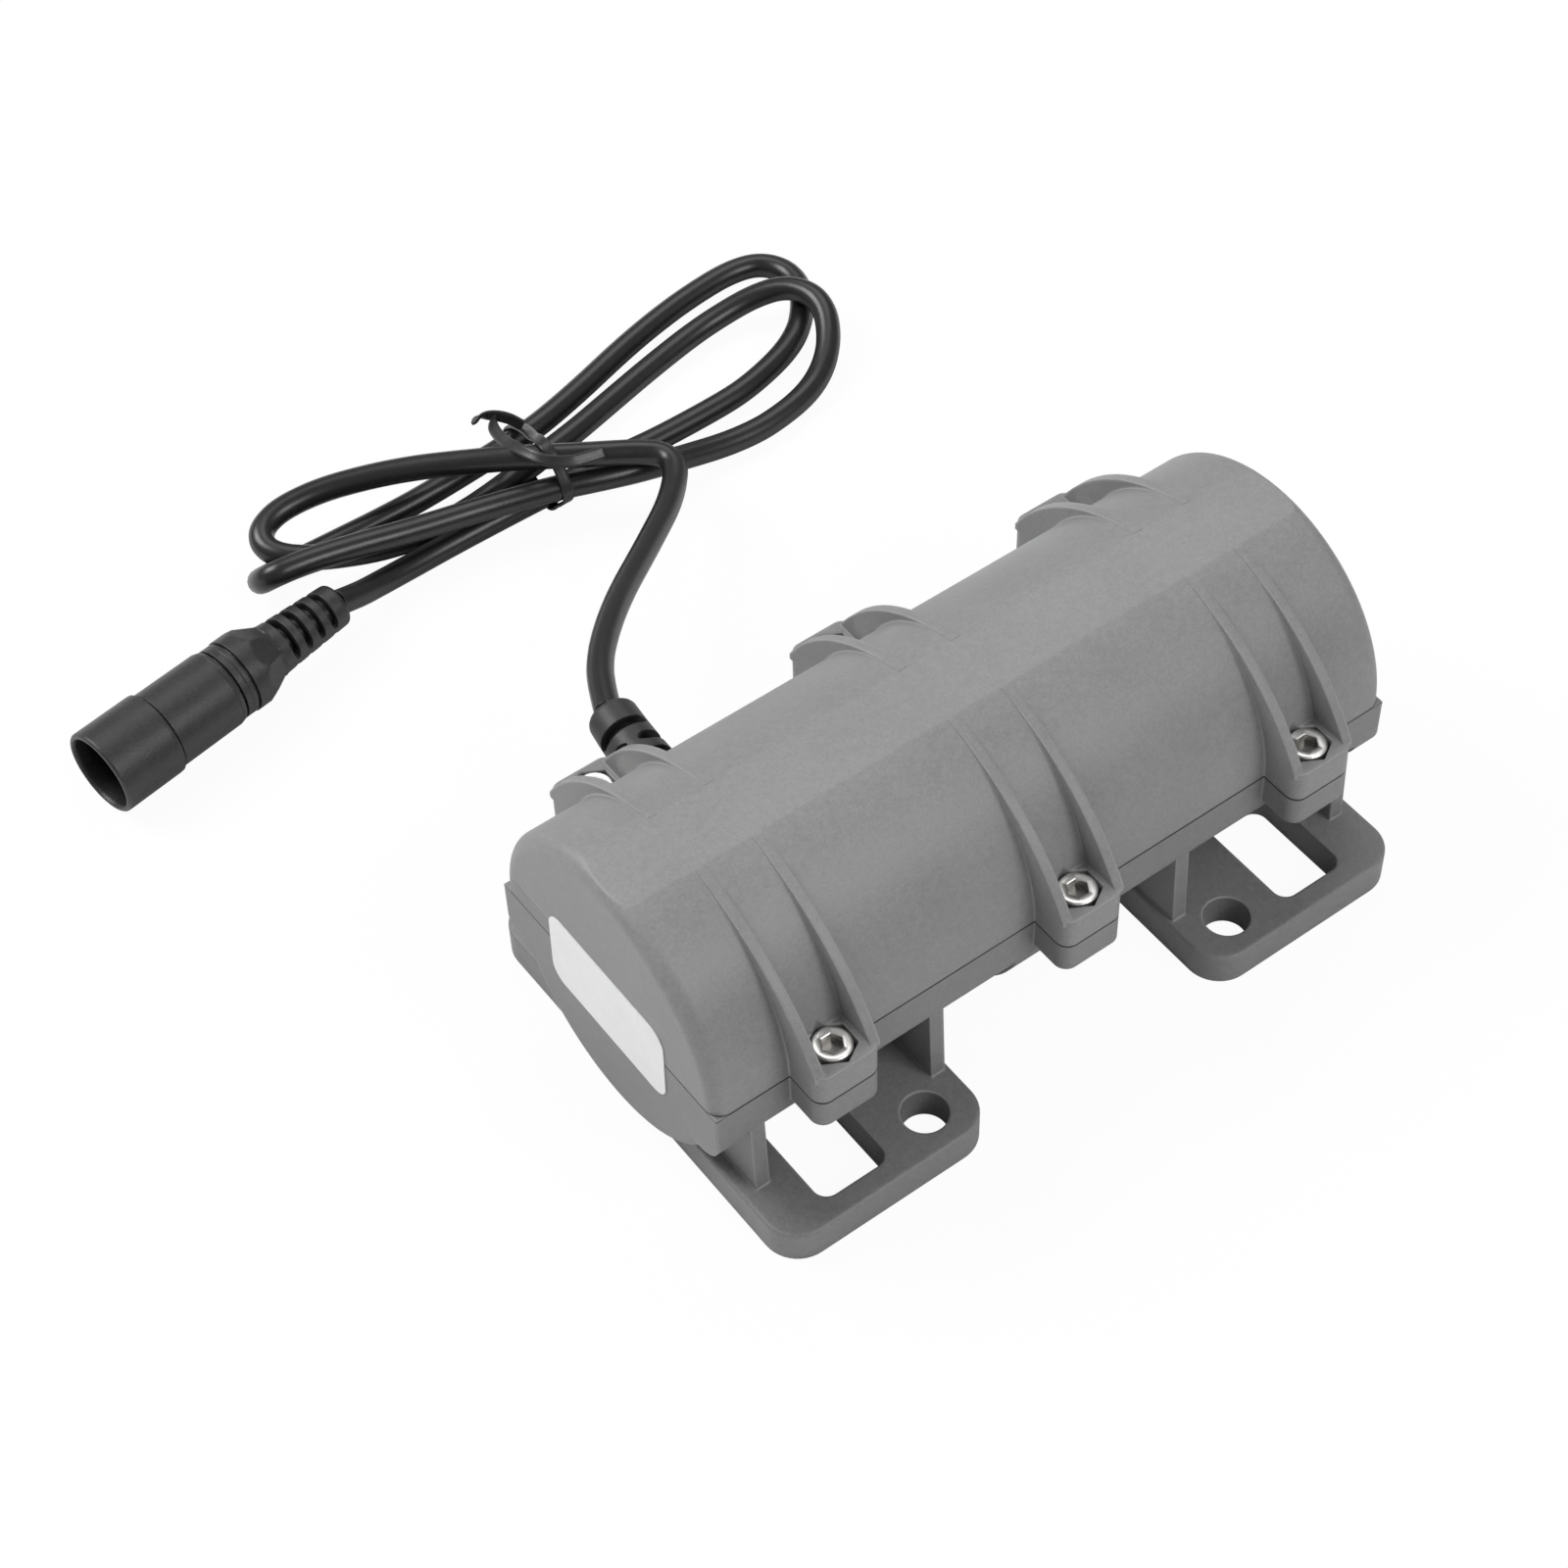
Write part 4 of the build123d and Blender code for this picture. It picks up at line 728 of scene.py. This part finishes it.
@dataclass
class Connector:
    """The moulded connector body: slotted relief, faceted shoulder, ringed barrel and wide front collar."""

    tip: Point = (-38.7, 92.7, 6.5)
    heading: float = 189.1
    length: float = 43.6
    bore: float = 1.95
    bore_row: float = 12.0
    edge: float = 0.25
    mouth_radius: float = 5.6
    mouth_slope: float = 0.3
    mouth_floor: float = 37.1
    mouth_step: float = 0.4
    floor_edge: float = 0.2
    core_radius: float = 4.25
    core_seat: float = 25.0
    facets: int = 8
    facet_turn: float = 9.0
    facet_start: float = 12.7
    facet_end: float = 16.0
    facet_reach: float = 3.8
    facet_growth: float = 1.55
    end_radius: float = 2.55
    end_round: float = 0.8
    relief_end: float = 12.6
    rim_radius: float = 6.0
    rim_round: float = 0.5
    dark_depth: float = 0.9
    dark_start: float = 0.4
    dark_fade: float = 2.5
    profile: Profile = (
        (0.8, 3.35), (10.6, 3.9), (12.6, 4.05), (12.7, 4.15), (15.6, 5.75), (15.8, 5.8), (19.4, 5.8),
        (19.5, 5.65), (21.5, 5.66), (21.7, 5.7), (22.6, 5.95), (33.1, 6.02), (33.2, 6.05), (33.5, 6.4),
        (34.0, 6.45),
    )
    grooves: tuple[Groove, ...] = (
        Groove(19.35, 0.36, 0.5), Groove(20.3, 0.12, 0.1), Groove(21.55, 0.36, 0.55), Groove(22.5, 0.1, 0.12),
        Groove(33.2, 0.16, 0.3),
    )
    slots: tuple[SlotRing, ...] = tuple(SlotRing(3.15 + 2.47 * number, 1.1, 76.0, 24.0, 2.25)
                                        for number in range(4))
    inner: tuple[Turning, ...] = (
        Turning("connector_core", "insert_plastic", "jack_insert", True,
                ((25.3, 3.05), (25.3, 4.2), (38.2, 4.2), (38.5, 4.1), (38.6, 3.85), (38.6, 3.2),
                 (38.45, 3.05))),
        Turning("connector_contact", "contact_metal", "jack_contact", True,
                ((25.3, 2.75), (25.3, 3.0), (38.0, 3.0), (38.1, 2.9), (38.0, 2.75))),
        Turning("connector_pin", "pin_brass", "jack_pin", False,
                ((25.3, 0.95), (36.4, 0.95), (36.7, 0.85), (36.9, 0.6), (37.0, 0.3))),
    )

    def _outside(self) -> np.ndarray:
        """Lays out the outer profile, from the rounded end over straight stretches to the rounded rim.

        Returns:
            (along, radius) of every outer row.
        """
        rim_start = self.length - self.rim_round
        corners = np.array((*self.profile, (rim_start, self.rim_radius + self.rim_round)))
        edges = np.concatenate((walls(self.slots), walls(self.grooves)))
        along = np.concatenate((stations(self.end_round, self.relief_end, FINE_STEP, edges),
                                stations(self.facet_start, rim_start, COARSE_STEP, edges)))
        along = np.unique(np.concatenate((along, corners[:, 0])))
        outer = np.stack((along, np.interp(along, corners[:, 0], corners[:, 1])), axis=-1)
        end = arc((self.end_round, self.end_radius), self.end_round, 180.0, 90.0)
        rim = arc((rim_start, self.rim_radius), self.rim_round, 90.0, 0.0)
        return np.concatenate((end[:-1], outer, rim[1:]))

    def _inside(self) -> np.ndarray:
        """Lays out the inner profile: the mouth's slope, wall and floor, the core's seat and the bore.

        Returns:
            (along, radius) of every inner row.
        """
        wall = stations(self.length - self.mouth_slope, self.mouth_floor + self.floor_edge, self.mouth_step,
                        np.empty(0))
        mouth = np.stack((wall, np.full_like(wall, self.mouth_radius)), axis=-1)
        back = [(self.mouth_floor, self.mouth_radius - self.floor_edge), (self.mouth_floor, self.core_radius),
                (self.core_seat, self.core_radius), (self.core_seat, self.bore), (self.bore_row, self.bore),
                (self.edge, self.bore), (0.0, self.bore + self.edge)]
        return np.concatenate(([(self.length, self.mouth_radius + self.edge)], mouth, back))

    def turned(self, along: np.ndarray, reach: np.ndarray, angle: np.ndarray) -> np.ndarray:
        """Works out rings round the connector's axis, whose centres lie along its heading from the cord's end.

        Args:
            along: place of each row, from the cord's end.
            reach: rows x columns of distances from the axis.
            angle: angle of each column in degrees, from straight up.

        Returns:
            Rows x columns x 3 coordinates in metres.
        """
        heading = math.radians(self.heading)
        forward = np.array([math.cos(heading), math.sin(heading), 0.0])
        side = np.array([math.sin(heading), -math.cos(heading), 0.0])
        return rings(np.array(self.tip) + along[:, None] * forward, side, reach, angle)

    def build(self, finishes: Finishes) -> Piece:
        """Builds the body as rings round a straight level axis.

        The radius of a row is cut down to the flat facets of the shoulder, whose distance from the axis grows
        evenly, and sinks by the grooves and slots.

        Args:
            finishes: where its finish comes from.

        Returns:
            The connector's body.
        """
        outside = self._outside()
        along, radius = np.concatenate((outside, self._inside())).T
        outer = np.arange(len(along)) < len(outside)
        ramp = (along - self.facet_start) / (self.facet_end - self.facet_start)
        flat = np.where(outer & (ramp > 0.0), self.facet_reach + self.facet_growth * ramp, np.inf)
        step = 360.0 / self.facets
        wrapped = np.radians((ANGLES + self.facet_turn) % step - step / 2)
        reach = np.minimum(radius[:, None], flat[:, None] / np.cos(wrapped)[None, :])
        depth = sum(slot.cut(along, np.where(outer, radius, 0.0), ANGLES) for slot in self.slots)
        lines = sum(groove.cut(along) for groove in self.grooves)
        lines = np.where(outer, lines, 0.0)[:, None] * np.ones_like(depth)
        points = self.turned(along, reach - depth - lines, ANGLES)
        piece = mesh_piece("connector_body", points, wrapped=True)
        # Painted shade: darker deeper in the mouth, full in the bore, and in the slots and grooves by their
        # depth.
        in_mouth = ~outer & (radius > self.core_radius)
        in_bore = ~outer & ~in_mouth & (along > self.bore_row)
        shade = np.clip((self.length - along - self.dark_start) / self.dark_fade, 0.0, 1.0)
        inner = np.where(in_mouth, shade, np.where(in_bore, 1.0, 0.0))
        mark_recess_shade(piece, np.maximum(np.maximum(depth, lines * 2.0) / self.dark_depth, inner[:, None]))
        return settle(piece, finishes, "jack_plastic", "jack_housing", "jack_collar")

    def build_inner(self, finishes: Finishes) -> list[Piece]:
        """Builds what lies in the mouth: the set-back core, the thin contact in its bore and the centre pin.

        Each is a profile of (along, radius) turned round the body's axis. The core and the contact are tubes
        whose profiles close on themselves, and the pin is a rod with a domed end.

        Args:
            finishes: where the finishes come from.

        Returns:
            The three pieces.
        """
        built = []
        for item in self.inner:
            along, radius = np.array(item.profile).T
            reach = radius[:, None] * np.ones_like(COARSE_ANGLES)
            piece = mesh_piece(item.name, self.turned(along, reach, COARSE_ANGLES), wrapped=item.closed)
            built.append(settle(piece, finishes, item.slot, item.node))
        return built


@dataclass
class CapScrews:
    """The six socket-head screws, sunk in the lugs' pockets."""

    half_pitch: float = 38.5
    half_y: float = 25.2
    tip_z: float = 20.8
    seat_z: float = 26.8
    top_z: float = 29.85
    head_radius: float = 2.62
    shank_radius: float = 1.2
    edge_round: float = 0.3
    seat_edge: float = 0.1
    socket_half: float = 1.3
    socket_depth: float = 1.5
    socket_slope: tuple[float, float] = (0.12, 0.16)
    dark_start: float = 0.1
    dark_fade: float = 0.8

    def _rows(self) -> np.ndarray:
        """Lays out the profile from the shank's tip over the head to the socket's floor.

        Returns:
            (height, radius, share of hexagon) of every row.
        """
        shank = [(self.tip_z, self.shank_radius - self.edge_round, 0.0),
                 (self.tip_z + self.edge_round, self.shank_radius, 0.0),
                 (self.seat_z, self.shank_radius, 0.0), (self.seat_z, self.head_radius - self.seat_edge, 0.0),
                 (self.seat_z + self.seat_edge, self.head_radius, 0.0)]
        centre = (self.top_z - self.edge_round, self.head_radius - self.edge_round)
        edge = arc(centre, self.edge_round, 90.0, 0.0)
        crown = [(height, radius, 0.0) for height, radius in edge]
        down, across = self.socket_slope
        socket = [(self.top_z, self.socket_half + across, 1.0), (self.top_z - down, self.socket_half, 1.0),
                  (self.top_z - self.socket_depth, self.socket_half, 1.0)]
        return np.array(shank + crown + socket)

    def build(self, finishes: Finishes) -> Piece:
        """Builds one screw as rings that go over into a hexagon at the socket, and sets it six times.

        Args:
            finishes: where the finish comes from.

        Returns:
            All six screws as one piece.
        """
        height, radius, share = self._rows().T[:, :, None]
        hexagon = 1.0 / np.cos(np.radians(ANGLES % 60.0 - 30.0))
        reach = radius * (1.0 + share * (hexagon[None, :] - 1.0))
        turn = np.radians(ANGLES)[None, :]
        one = np.stack((reach * np.cos(turn), reach * np.sin(turn), height * np.ones_like(reach)), axis=-1)
        rows = (-self.half_pitch, 0.0, self.half_pitch)
        places = [(x, y) for x in rows for y in (-self.half_y, self.half_y)]
        parts = [mesh_piece(f"cap_screw_{number}", (one + np.array([x, y, 0.0])) * MM)
                 for number, (x, y) in enumerate(places)]
        piece = join_pieces("cap_screws", parts)
        # Painted shade in the hex socket, darker further down.
        painted_shade = np.clip((self.top_z - self.dark_start - height) / self.dark_fade, 0.0, 1.0) * share
        mark_recess_shade(piece, np.tile(painted_shade * np.ones_like(reach), (len(places), 1)))
        return settle(piece, finishes, "screw_steel", "shell_screws")


@dataclass(frozen=True)
class Ribbon:
    """One run of the flat tie: places along it and the direction that its width points in at each place."""

    places: tuple[Point, ...]
    widths: tuple[Point, ...]
    closed: bool = False
    flat_power: float = 0.55
    edge_power: float = 0.7
    groove_share: float = 0.16
    steps: int = 10
    around: int = 28

    def points(self, width: float, thickness: float, groove: float) -> np.ndarray:
        """Returns the ribbon's rings.

        The line through the places is a Catmull-Rom curve. The section is an ellipse of high power, so a flat
        bar with round edges, and both flats sink in the middle by the groove times a bell curve.

        Args:
            width: across the flat.
            thickness: between the flats.
            groove: how deep the middle sinks.

        Returns:
            Rings x points x 3 coordinates in millimetres.
        """
        line = self._smooth(np.array(self.places))
        across = self._smooth(np.array(self.widths))
        if self.closed:
            along = np.roll(line, -1, axis=0) - np.roll(line, 1, axis=0)
        else:
            along = np.gradient(line, axis=0)
        along /= np.linalg.norm(along, axis=1, keepdims=True)
        across = across - np.sum(across * along, axis=1, keepdims=True) * along
        across /= np.linalg.norm(across, axis=1, keepdims=True)
        normal = np.cross(along, across)
        angle = np.linspace(0.0, 2.0 * np.pi, self.around, endpoint=False)
        flat = width / 2 * np.sign(np.cos(angle)) * np.abs(np.cos(angle)) ** self.flat_power
        raised = thickness / 2 * np.sign(np.sin(angle)) * np.abs(np.sin(angle)) ** self.edge_power
        sunk = np.exp(-(flat / (width * self.groove_share)) ** 2)
        raised = raised - groove * np.sign(np.sin(angle)) * sunk
        sideways = flat[None, :, None] * across[:, None, :]
        return line[:, None, :] + sideways + raised[None, :, None] * normal[:, None, :]

    def _smooth(self, values: np.ndarray) -> np.ndarray:
        """Works out a Catmull-Rom curve: in each span a cubic of the two values at its ends and the two beyond.

        Args:
            values: the values that it passes through.

        Returns:
            The values at the same number of steps in each span.
        """
        if self.closed:
            padded = np.concatenate((values[-1:], values, values[:2]))
        else:
            padded = np.concatenate((2 * values[:1] - values[1:2], values, 2 * values[-1:] - values[-2:-1]))
        before, first, second, after = padded[:-3], padded[1:-2], padded[2:-1], padded[3:]
        share = np.linspace(0.0, 1.0, self.steps, endpoint=False)[None, :, None]
        before, first, second, after = (part[:, None, :] for part in (before, first, second, after))
        curve = 0.5 * (2 * first + (second - before) * share
                       + (2 * before - 5 * first + 4 * second - after) * share ** 2
                       + (3 * first - before - 3 * second + after) * share ** 3)
        curve = curve.reshape(-1, 3)
        return curve if self.closed else np.concatenate((curve, values[-1:]))


@dataclass
class Tie:
    """The flat plastic-covered wire that holds the turns together, with its two twisted tails on top."""

    width: float = 1.85
    thickness: float = 0.62
    groove: float = 0.1
    band: Ribbon = Ribbon(
        places=((-0.4, 93.8, 1.0), (-0.3, 92.0, 3.1), (-0.2, 90.3, 5.1), (-0.15, 89.85, 6.6),
                (-0.1, 90.3, 8.0), (-0.1, 91.8, 10.2), (-0.2, 93.2, 12.0), (-0.3, 95.2, 12.85),
                (0.1, 97.6, 12.0), (0.6, 99.8, 10.4), (1.8, 103.8, 7.9), (2.5, 108.2, 5.1),
                (2.4, 110.2, 3.0), (1.6, 109.5, 0.9), (0.8, 107.0, 0.34), (0.2, 101.0, 0.33),
                (-0.3, 96.0, 0.36)),
        widths=((LEVEL,) * 7 + ((1.0, 0.1, 0.0), (1.0, 0.1, 0.1), (1.0, -0.1, 0.2), (1.0, -0.2, 0.2))
                + (LEVEL,) * 6),
        closed=True,
    )
    short_tail: Ribbon = Ribbon(
        places=((-3.6, 110.2, 7.9), (-2.3, 109.6, 8.7), (-0.8, 108.2, 9.1), (0.6, 106.4, 9.0),
                (1.8, 104.6, 8.2)),
        widths=((0.5, -0.6, 0.6), (0.5, -0.6, 0.6), (0.6, -0.5, 0.6), (0.7, -0.5, 0.5), (0.7, -0.5, 0.5)),
    )
    long_tail: Ribbon = Ribbon(
        places=((-0.4, 109.0, 8.0), (-1.5, 107.9, 8.6), (-2.6, 105.6, 9.4), (-3.5, 102.0, 10.8),
                (-3.8, 98.4, 12.3), (-3.3, 94.6, 13.3), (-2.0, 91.9, 13.3), (0.7, 90.0, 13.0),
                (3.2, 89.3, 12.8), (5.8, 88.9, 12.6)),
        widths=((0.8, 0.2, 0.6), (0.8, 0.2, 0.6), (0.9, 0.2, 0.4), (0.9, 0.1, 0.4), (0.8, 0.4, 0.4),
                (0.6, 0.6, 0.5), (0.4, 0.7, 0.6), (0.2, 0.7, 0.7), (0.1, 0.7, 0.7), (0.1, 0.7, 0.7)),
    )

    def build(self, finishes: Finishes) -> Piece:
        """Builds the band and both tails, joined as one piece.

        Args:
            finishes: where its finish comes from.

        Returns:
            The tie.
        """
        parts = [mesh_piece(f"tie_run_{number}", run.points(self.width, self.thickness, self.groove) * MM,
                            wrapped=run.closed)
                 for number, run in enumerate((self.band, self.short_tail, self.long_tail))]
        return settle(join_pieces("wire_tie", parts), finishes, "tie_plastic", "cord_tie")


def join_pieces(name: str, parts: list[Piece]) -> Piece:
    """Joins pieces that lie at the origin into one.

    Args:
        name: the joined piece's name.
        parts: the pieces, which are taken out of the scene.

    Returns:
        The joined piece.
    """
    work = bmesh.new()
    for part in parts:
        work.from_mesh(part.data)
    mesh = bpy.data.meshes.new(name)
    work.to_mesh(mesh)
    work.free()
    shade_smooth(mesh, JOINED_LIMIT)
    for part in parts:
        bpy.data.objects.remove(part)
    return placed(name, mesh)


@dataclass
class Cord:
    """The cord from the housing's relief, through two figure-eight turns under the tie, to the connector."""

    diameter: float = 0.0038
    length: float = 0.563
    route: tuple[Point, ...] = (
        (-27.5, 38.5, 24.5), (-25.0, 44.0, 23.6), (-22.0, 48.5, 22.5), (-18.5, 52.5, 21.2),
        (-14.0, 57.0, 19.5), (-9.0, 61.5, 17.4), (-3.5, 66.0, 15.2), (2.0, 70.5, 13.2), (7.5, 75.0, 11.4),
        (11.5, 79.0, 10.3), (14.2, 82.5, 9.9), (14.0, 85.5, 10.0), (11.5, 87.7, 10.1), (8.5, 89.5, 10.3),
        (4.5, 92.0, 10.4), (0.0, 95.0, 10.5), (-5.0, 98.7, 10.2), (-10.5, 102.7, 9.6), (-16.5, 106.8, 8.9),
        (-22.5, 110.0, 8.2), (-29.0, 112.5, 7.6), (-35.0, 113.3, 7.1), (-38.7, 112.5, 6.7),
        (-40.7, 110.8, 6.4), (-41.0, 108.4, 6.0), (-39.7, 106.0, 5.8), (-37.2, 104.0, 5.5),
        (-33.5, 102.4, 4.7), (-26.5, 101.5, 2.4), (-20.0, 100.3, 2.0), (-12.5, 100.0, 2.2),
        (-5.0, 100.8, 2.5), (3.0, 102.4, 2.5), (10.0, 103.8, 2.4), (17.5, 106.0, 2.0), (27.5, 108.6, 1.9),
        (37.0, 110.4, 2.2), (43.5, 110.5, 3.0), (48.5, 109.5, 4.3), (52.5, 107.2, 5.6), (54.6, 103.2, 6.0),
        (54.3, 99.0, 5.6), (52.0, 95.0, 4.4), (49.0, 92.0, 3.2), (45.5, 90.0, 2.2), (41.5, 88.6, 1.9),
        (37.0, 87.7, 1.9), (32.5, 87.3, 1.9), (26.5, 87.6, 2.3), (19.5, 88.0, 3.8), (11.7, 88.2, 5.8),
        (5.5, 89.8, 6.5), (-0.5, 92.2, 6.5), (-9.0, 94.8, 6.4), (-15.0, 96.0, 6.8), (-20.5, 96.7, 7.5),
        (-25.5, 97.3, 8.3), (-31.0, 98.2, 9.1), (-37.0, 99.1, 9.8), (-41.2, 99.6, 10.1),
        (-44.3, 100.0, 10.0), (-45.6, 101.8, 8.0), (-44.6, 105.0, 4.5), (-41.8, 107.1, 2.1),
        (-38.5, 107.4, 1.9), (-34.5, 107.2, 1.9), (-29.0, 107.0, 1.9), (-23.5, 106.8, 1.9),
        (-16.0, 106.7, 2.0), (-5.0, 107.1, 2.5), (1.0, 107.7, 2.5), (6.5, 108.4, 2.4), (16.0, 111.2, 2.0),
        (26.5, 114.6, 1.9), (34.5, 116.6, 1.9), (41.7, 117.9, 1.9), (50.0, 118.6, 1.9), (55.2, 117.1, 1.9),
        (57.5, 112.6, 1.9), (56.2, 107.5, 1.9), (52.7, 103.1, 1.9), (49.5, 100.4, 1.9), (45.5, 98.3, 1.9),
        (40.5, 96.7, 1.9), (35.0, 95.5, 1.9), (28.5, 95.2, 1.9), (20.0, 95.1, 2.0), (14.5, 95.2, 2.3),
        (8.5, 95.4, 2.5), (2.0, 95.5, 2.5), (-7.0, 95.8, 2.4), (-17.5, 96.2, 2.0), (-25.5, 95.7, 2.4),
        (-31.0, 94.8, 3.4), (-34.7, 93.6, 4.8), (-38.7, 92.7, 6.5),
    )

    def build(self, finishes: Finishes) -> Piece:
        """Lays the cord on one smooth spline whose control points are the route's.

        Args:
            finishes: where the jacket's finish comes from.

        Returns:
            The cord.
        """
        curve = bpy.data.curves.new("cord", "CURVE")
        curve.dimensions = "3D"
        spline = curve.splines.new("NURBS")
        spline.points.add(len(self.route) - 1)
        places = np.ones((len(self.route), 4))
        places[:, :3] = np.array(self.route) * MM
        spline.points.foreach_set("co", places.ravel())
        spline.order_u = 3
        spline.use_endpoint_u = True
        spline.resolution_u = 10
        curve.bevel_depth = self.diameter / 2
        curve.bevel_resolution = 6
        curve.use_fill_caps = True
        piece = placed("cord", curve)
        return settle(piece, finishes, "cord_jacket", "cord_lead_in", "cord_hank", "cord_lead_out")


@dataclass
class Camera:
    """The camera at the photograph's viewing angle."""

    place: Point = (-178.1, -215.4, 368.0)
    right: Point = (0.801, -0.5982, -0.023)
    up: Point = (0.475, 0.6118, 0.6326)
    lens: float = 78.195
    sensor: float = 36.0
    near: float = 0.01

    def build(self) -> None:
        """Sets the scene's camera from its place and its right and up directions."""
        right = Vector(self.right).normalized()
        up = (Vector(self.up) - Vector(self.up).dot(right) * right).normalized()
        back = right.cross(up)
        turn = Matrix((right, up, back)).transposed().to_4x4()
        data = bpy.data.cameras.new("camera")
        data.lens = self.lens
        data.sensor_width = self.sensor
        data.clip_start = self.near
        camera = placed("camera", data)
        camera.matrix_world = Matrix.Translation(Vector(self.place) * MM) @ turn
        bpy.context.scene.camera = camera


@dataclass
class Lamp:
    """One soft square lamp that faces the object."""

    name: str
    place: Point
    size: float
    power: float

    def build(self, target: Point = (0.0, 0.03, 0.015)) -> None:
        """Adds the lamp.

        Args:
            target: the place in metres that it faces.
        """
        data = bpy.data.lights.new(self.name, "AREA")
        data.shape = "SQUARE"
        data.size = self.size
        data.energy = self.power
        lamp = placed(self.name, data)
        lamp.location = self.place
        lamp.rotation_euler = (Vector(self.place) - Vector(target)).to_track_quat("Z", "Y").to_euler()


@dataclass
class Studio:
    """The pale floor, the white surroundings and the soft lamps."""

    floor_half: float = 4.0
    floor_tone: Colour = (0.88, 0.88, 0.88)
    floor_rough: float = 0.9
    floor_glow: float = 0.95
    world_strength: float = 0.31
    lamps: tuple[Lamp, ...] = (
        Lamp("key_lamp", (-0.35, 0.5, 0.6), 0.4, 5.0),
        Lamp("front_lamp", (0.2, -0.64, 0.62), 0.4, 3.4),
        Lamp("sheen_lamp", (0.32, 0.38, 0.66), 0.45, 1.4),
    )

    def build(self) -> None:
        """Builds the floor, the world and the lamps."""
        bpy.context.scene.view_settings.view_transform = "Standard"
        self._floor()
        self._world()
        for lamp in self.lamps:
            lamp.build()

    @staticmethod
    def _seen(tree: Tree) -> Socket:
        """Returns 1 for a ray that sees the background from the camera or through glass."""
        path = tree.add("LightPath").outputs
        return tree.maths("MAXIMUM", path["Is Camera Ray"], path["Is Transmission Ray"])

    def _floor(self) -> None:
        """Adds a wide floor that looks white and keeps a soft shadow."""
        half = self.floor_half
        corners = [(-half, -half, 0.0), (half, -half, 0.0), (half, half, 0.0), (-half, half, 0.0)]
        mesh = bpy.data.meshes.new("floor")
        mesh.from_pydata(corners, [], [(0, 1, 2, 3)])
        floor = placed("floor", mesh)
        material = bpy.data.materials.new("floor_white")
        material.use_nodes = True
        tree = Tree(material.node_tree)
        plain = material.node_tree.nodes["Principled BSDF"]
        plain.inputs["Base Color"].default_value = rgba(self.floor_tone)
        plain.inputs["Roughness"].default_value = self.floor_rough
        plain.inputs["Specular IOR Level"].default_value = 0.0
        white = tree.add("Emission", {"Color": WHITE, "Strength": 1.0})
        share = tree.maths("MULTIPLY", self._seen(tree), self.floor_glow)
        mixed = tree.add("MixShader", {0: share, 1: plain.outputs[0], 2: white.outputs[0]})
        tree.link(mixed.outputs[0], material.node_tree.nodes["Material Output"].inputs["Surface"])
        mesh.materials.append(material)

    def _world(self) -> None:
        """Lights evenly from all round, and shows white."""
        world = bpy.data.worlds.new("surroundings")
        bpy.context.scene.world = world
        world.use_nodes = True
        tree = Tree(world.node_tree)
        light = tree.add("Background", {"Color": WHITE, "Strength": self.world_strength})
        white = tree.add("Background", {"Color": WHITE, "Strength": 1.0})
        mixed = tree.add("MixShader", {0: self._seen(tree), 1: light.outputs[0], 2: white.outputs[0]})
        tree.link(mixed.outputs[0], world.node_tree.nodes["World Output"].inputs["Surface"])


@dataclass
class Carried:
    """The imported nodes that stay, each with the finish of its own material slot."""

    slots: dict[str, str] = field(default_factory=lambda: {
        "upper_shell": "housing_upper", "lower_shell": "housing_lower", "seam_seal": "seal_rubber",
        "shell_nuts": "nut_steel", "end_label": "label_paper",
        "motor_can": "can_steel", "rear_end_bell": "bell_alloy", "front_end_bell": "bell_alloy",
        "rear_bearing_outer_ring": "bearing_steel", "front_bearing_outer_ring": "bearing_steel",
        "rear_bearing_inner_ring": "bearing_steel", "front_bearing_inner_ring": "bearing_steel",
        "rear_bearing_balls": "ball_chrome", "front_bearing_balls": "ball_chrome",
        "stator_core": "lamination_iron", "stator_windings": "winding_wire", "driver_board": "board_laminate",
        "driver_chips": "chip_plastic", "lead_wires": "wire_sheath", "rotor_core": "rotor_iron",
        "rotor_magnets": "magnet_metal", "rotor_spacers": "spacer_alloy", "shaft": "shaft_steel",
        "rear_weight": "weight_iron", "front_weight": "weight_iron", "weight_set_screws": "screw_steel",
        "cord_entry": "cord_jacket",
    })

    def build(self, finishes: Finishes) -> None:
        """Dresses every node."""
        for name, slot in self.slots.items():
            finishes.dress(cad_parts[name], slot)


def main() -> None:
    """Builds the camera, the cord and the rest in order."""
    logging.basicConfig(level=logging.INFO, format="%(message)s")
    finishes = Finishes()
    Camera().build()
    LOG.info("camera set")
    cord = Cord()
    line = cord.build(finishes)
    LOG.info("cord laid")
    relief = StrainRelief().build(finishes)
    LOG.info("strain relief built")
    connector = Connector()
    moulding = connector.build(finishes)
    inner = connector.build_inner(finishes)
    LOG.info("connector built")
    CapScrews().build(finishes)
    LOG.info("cap screws built")
    tie = Tie().build(finishes)
    LOG.info("tie built")
    Carried().build(finishes)
    LOG.info("packed nodes dressed")
    Studio().build()
    LOG.info("studio lit")


if __name__ == "__main__":
    main()
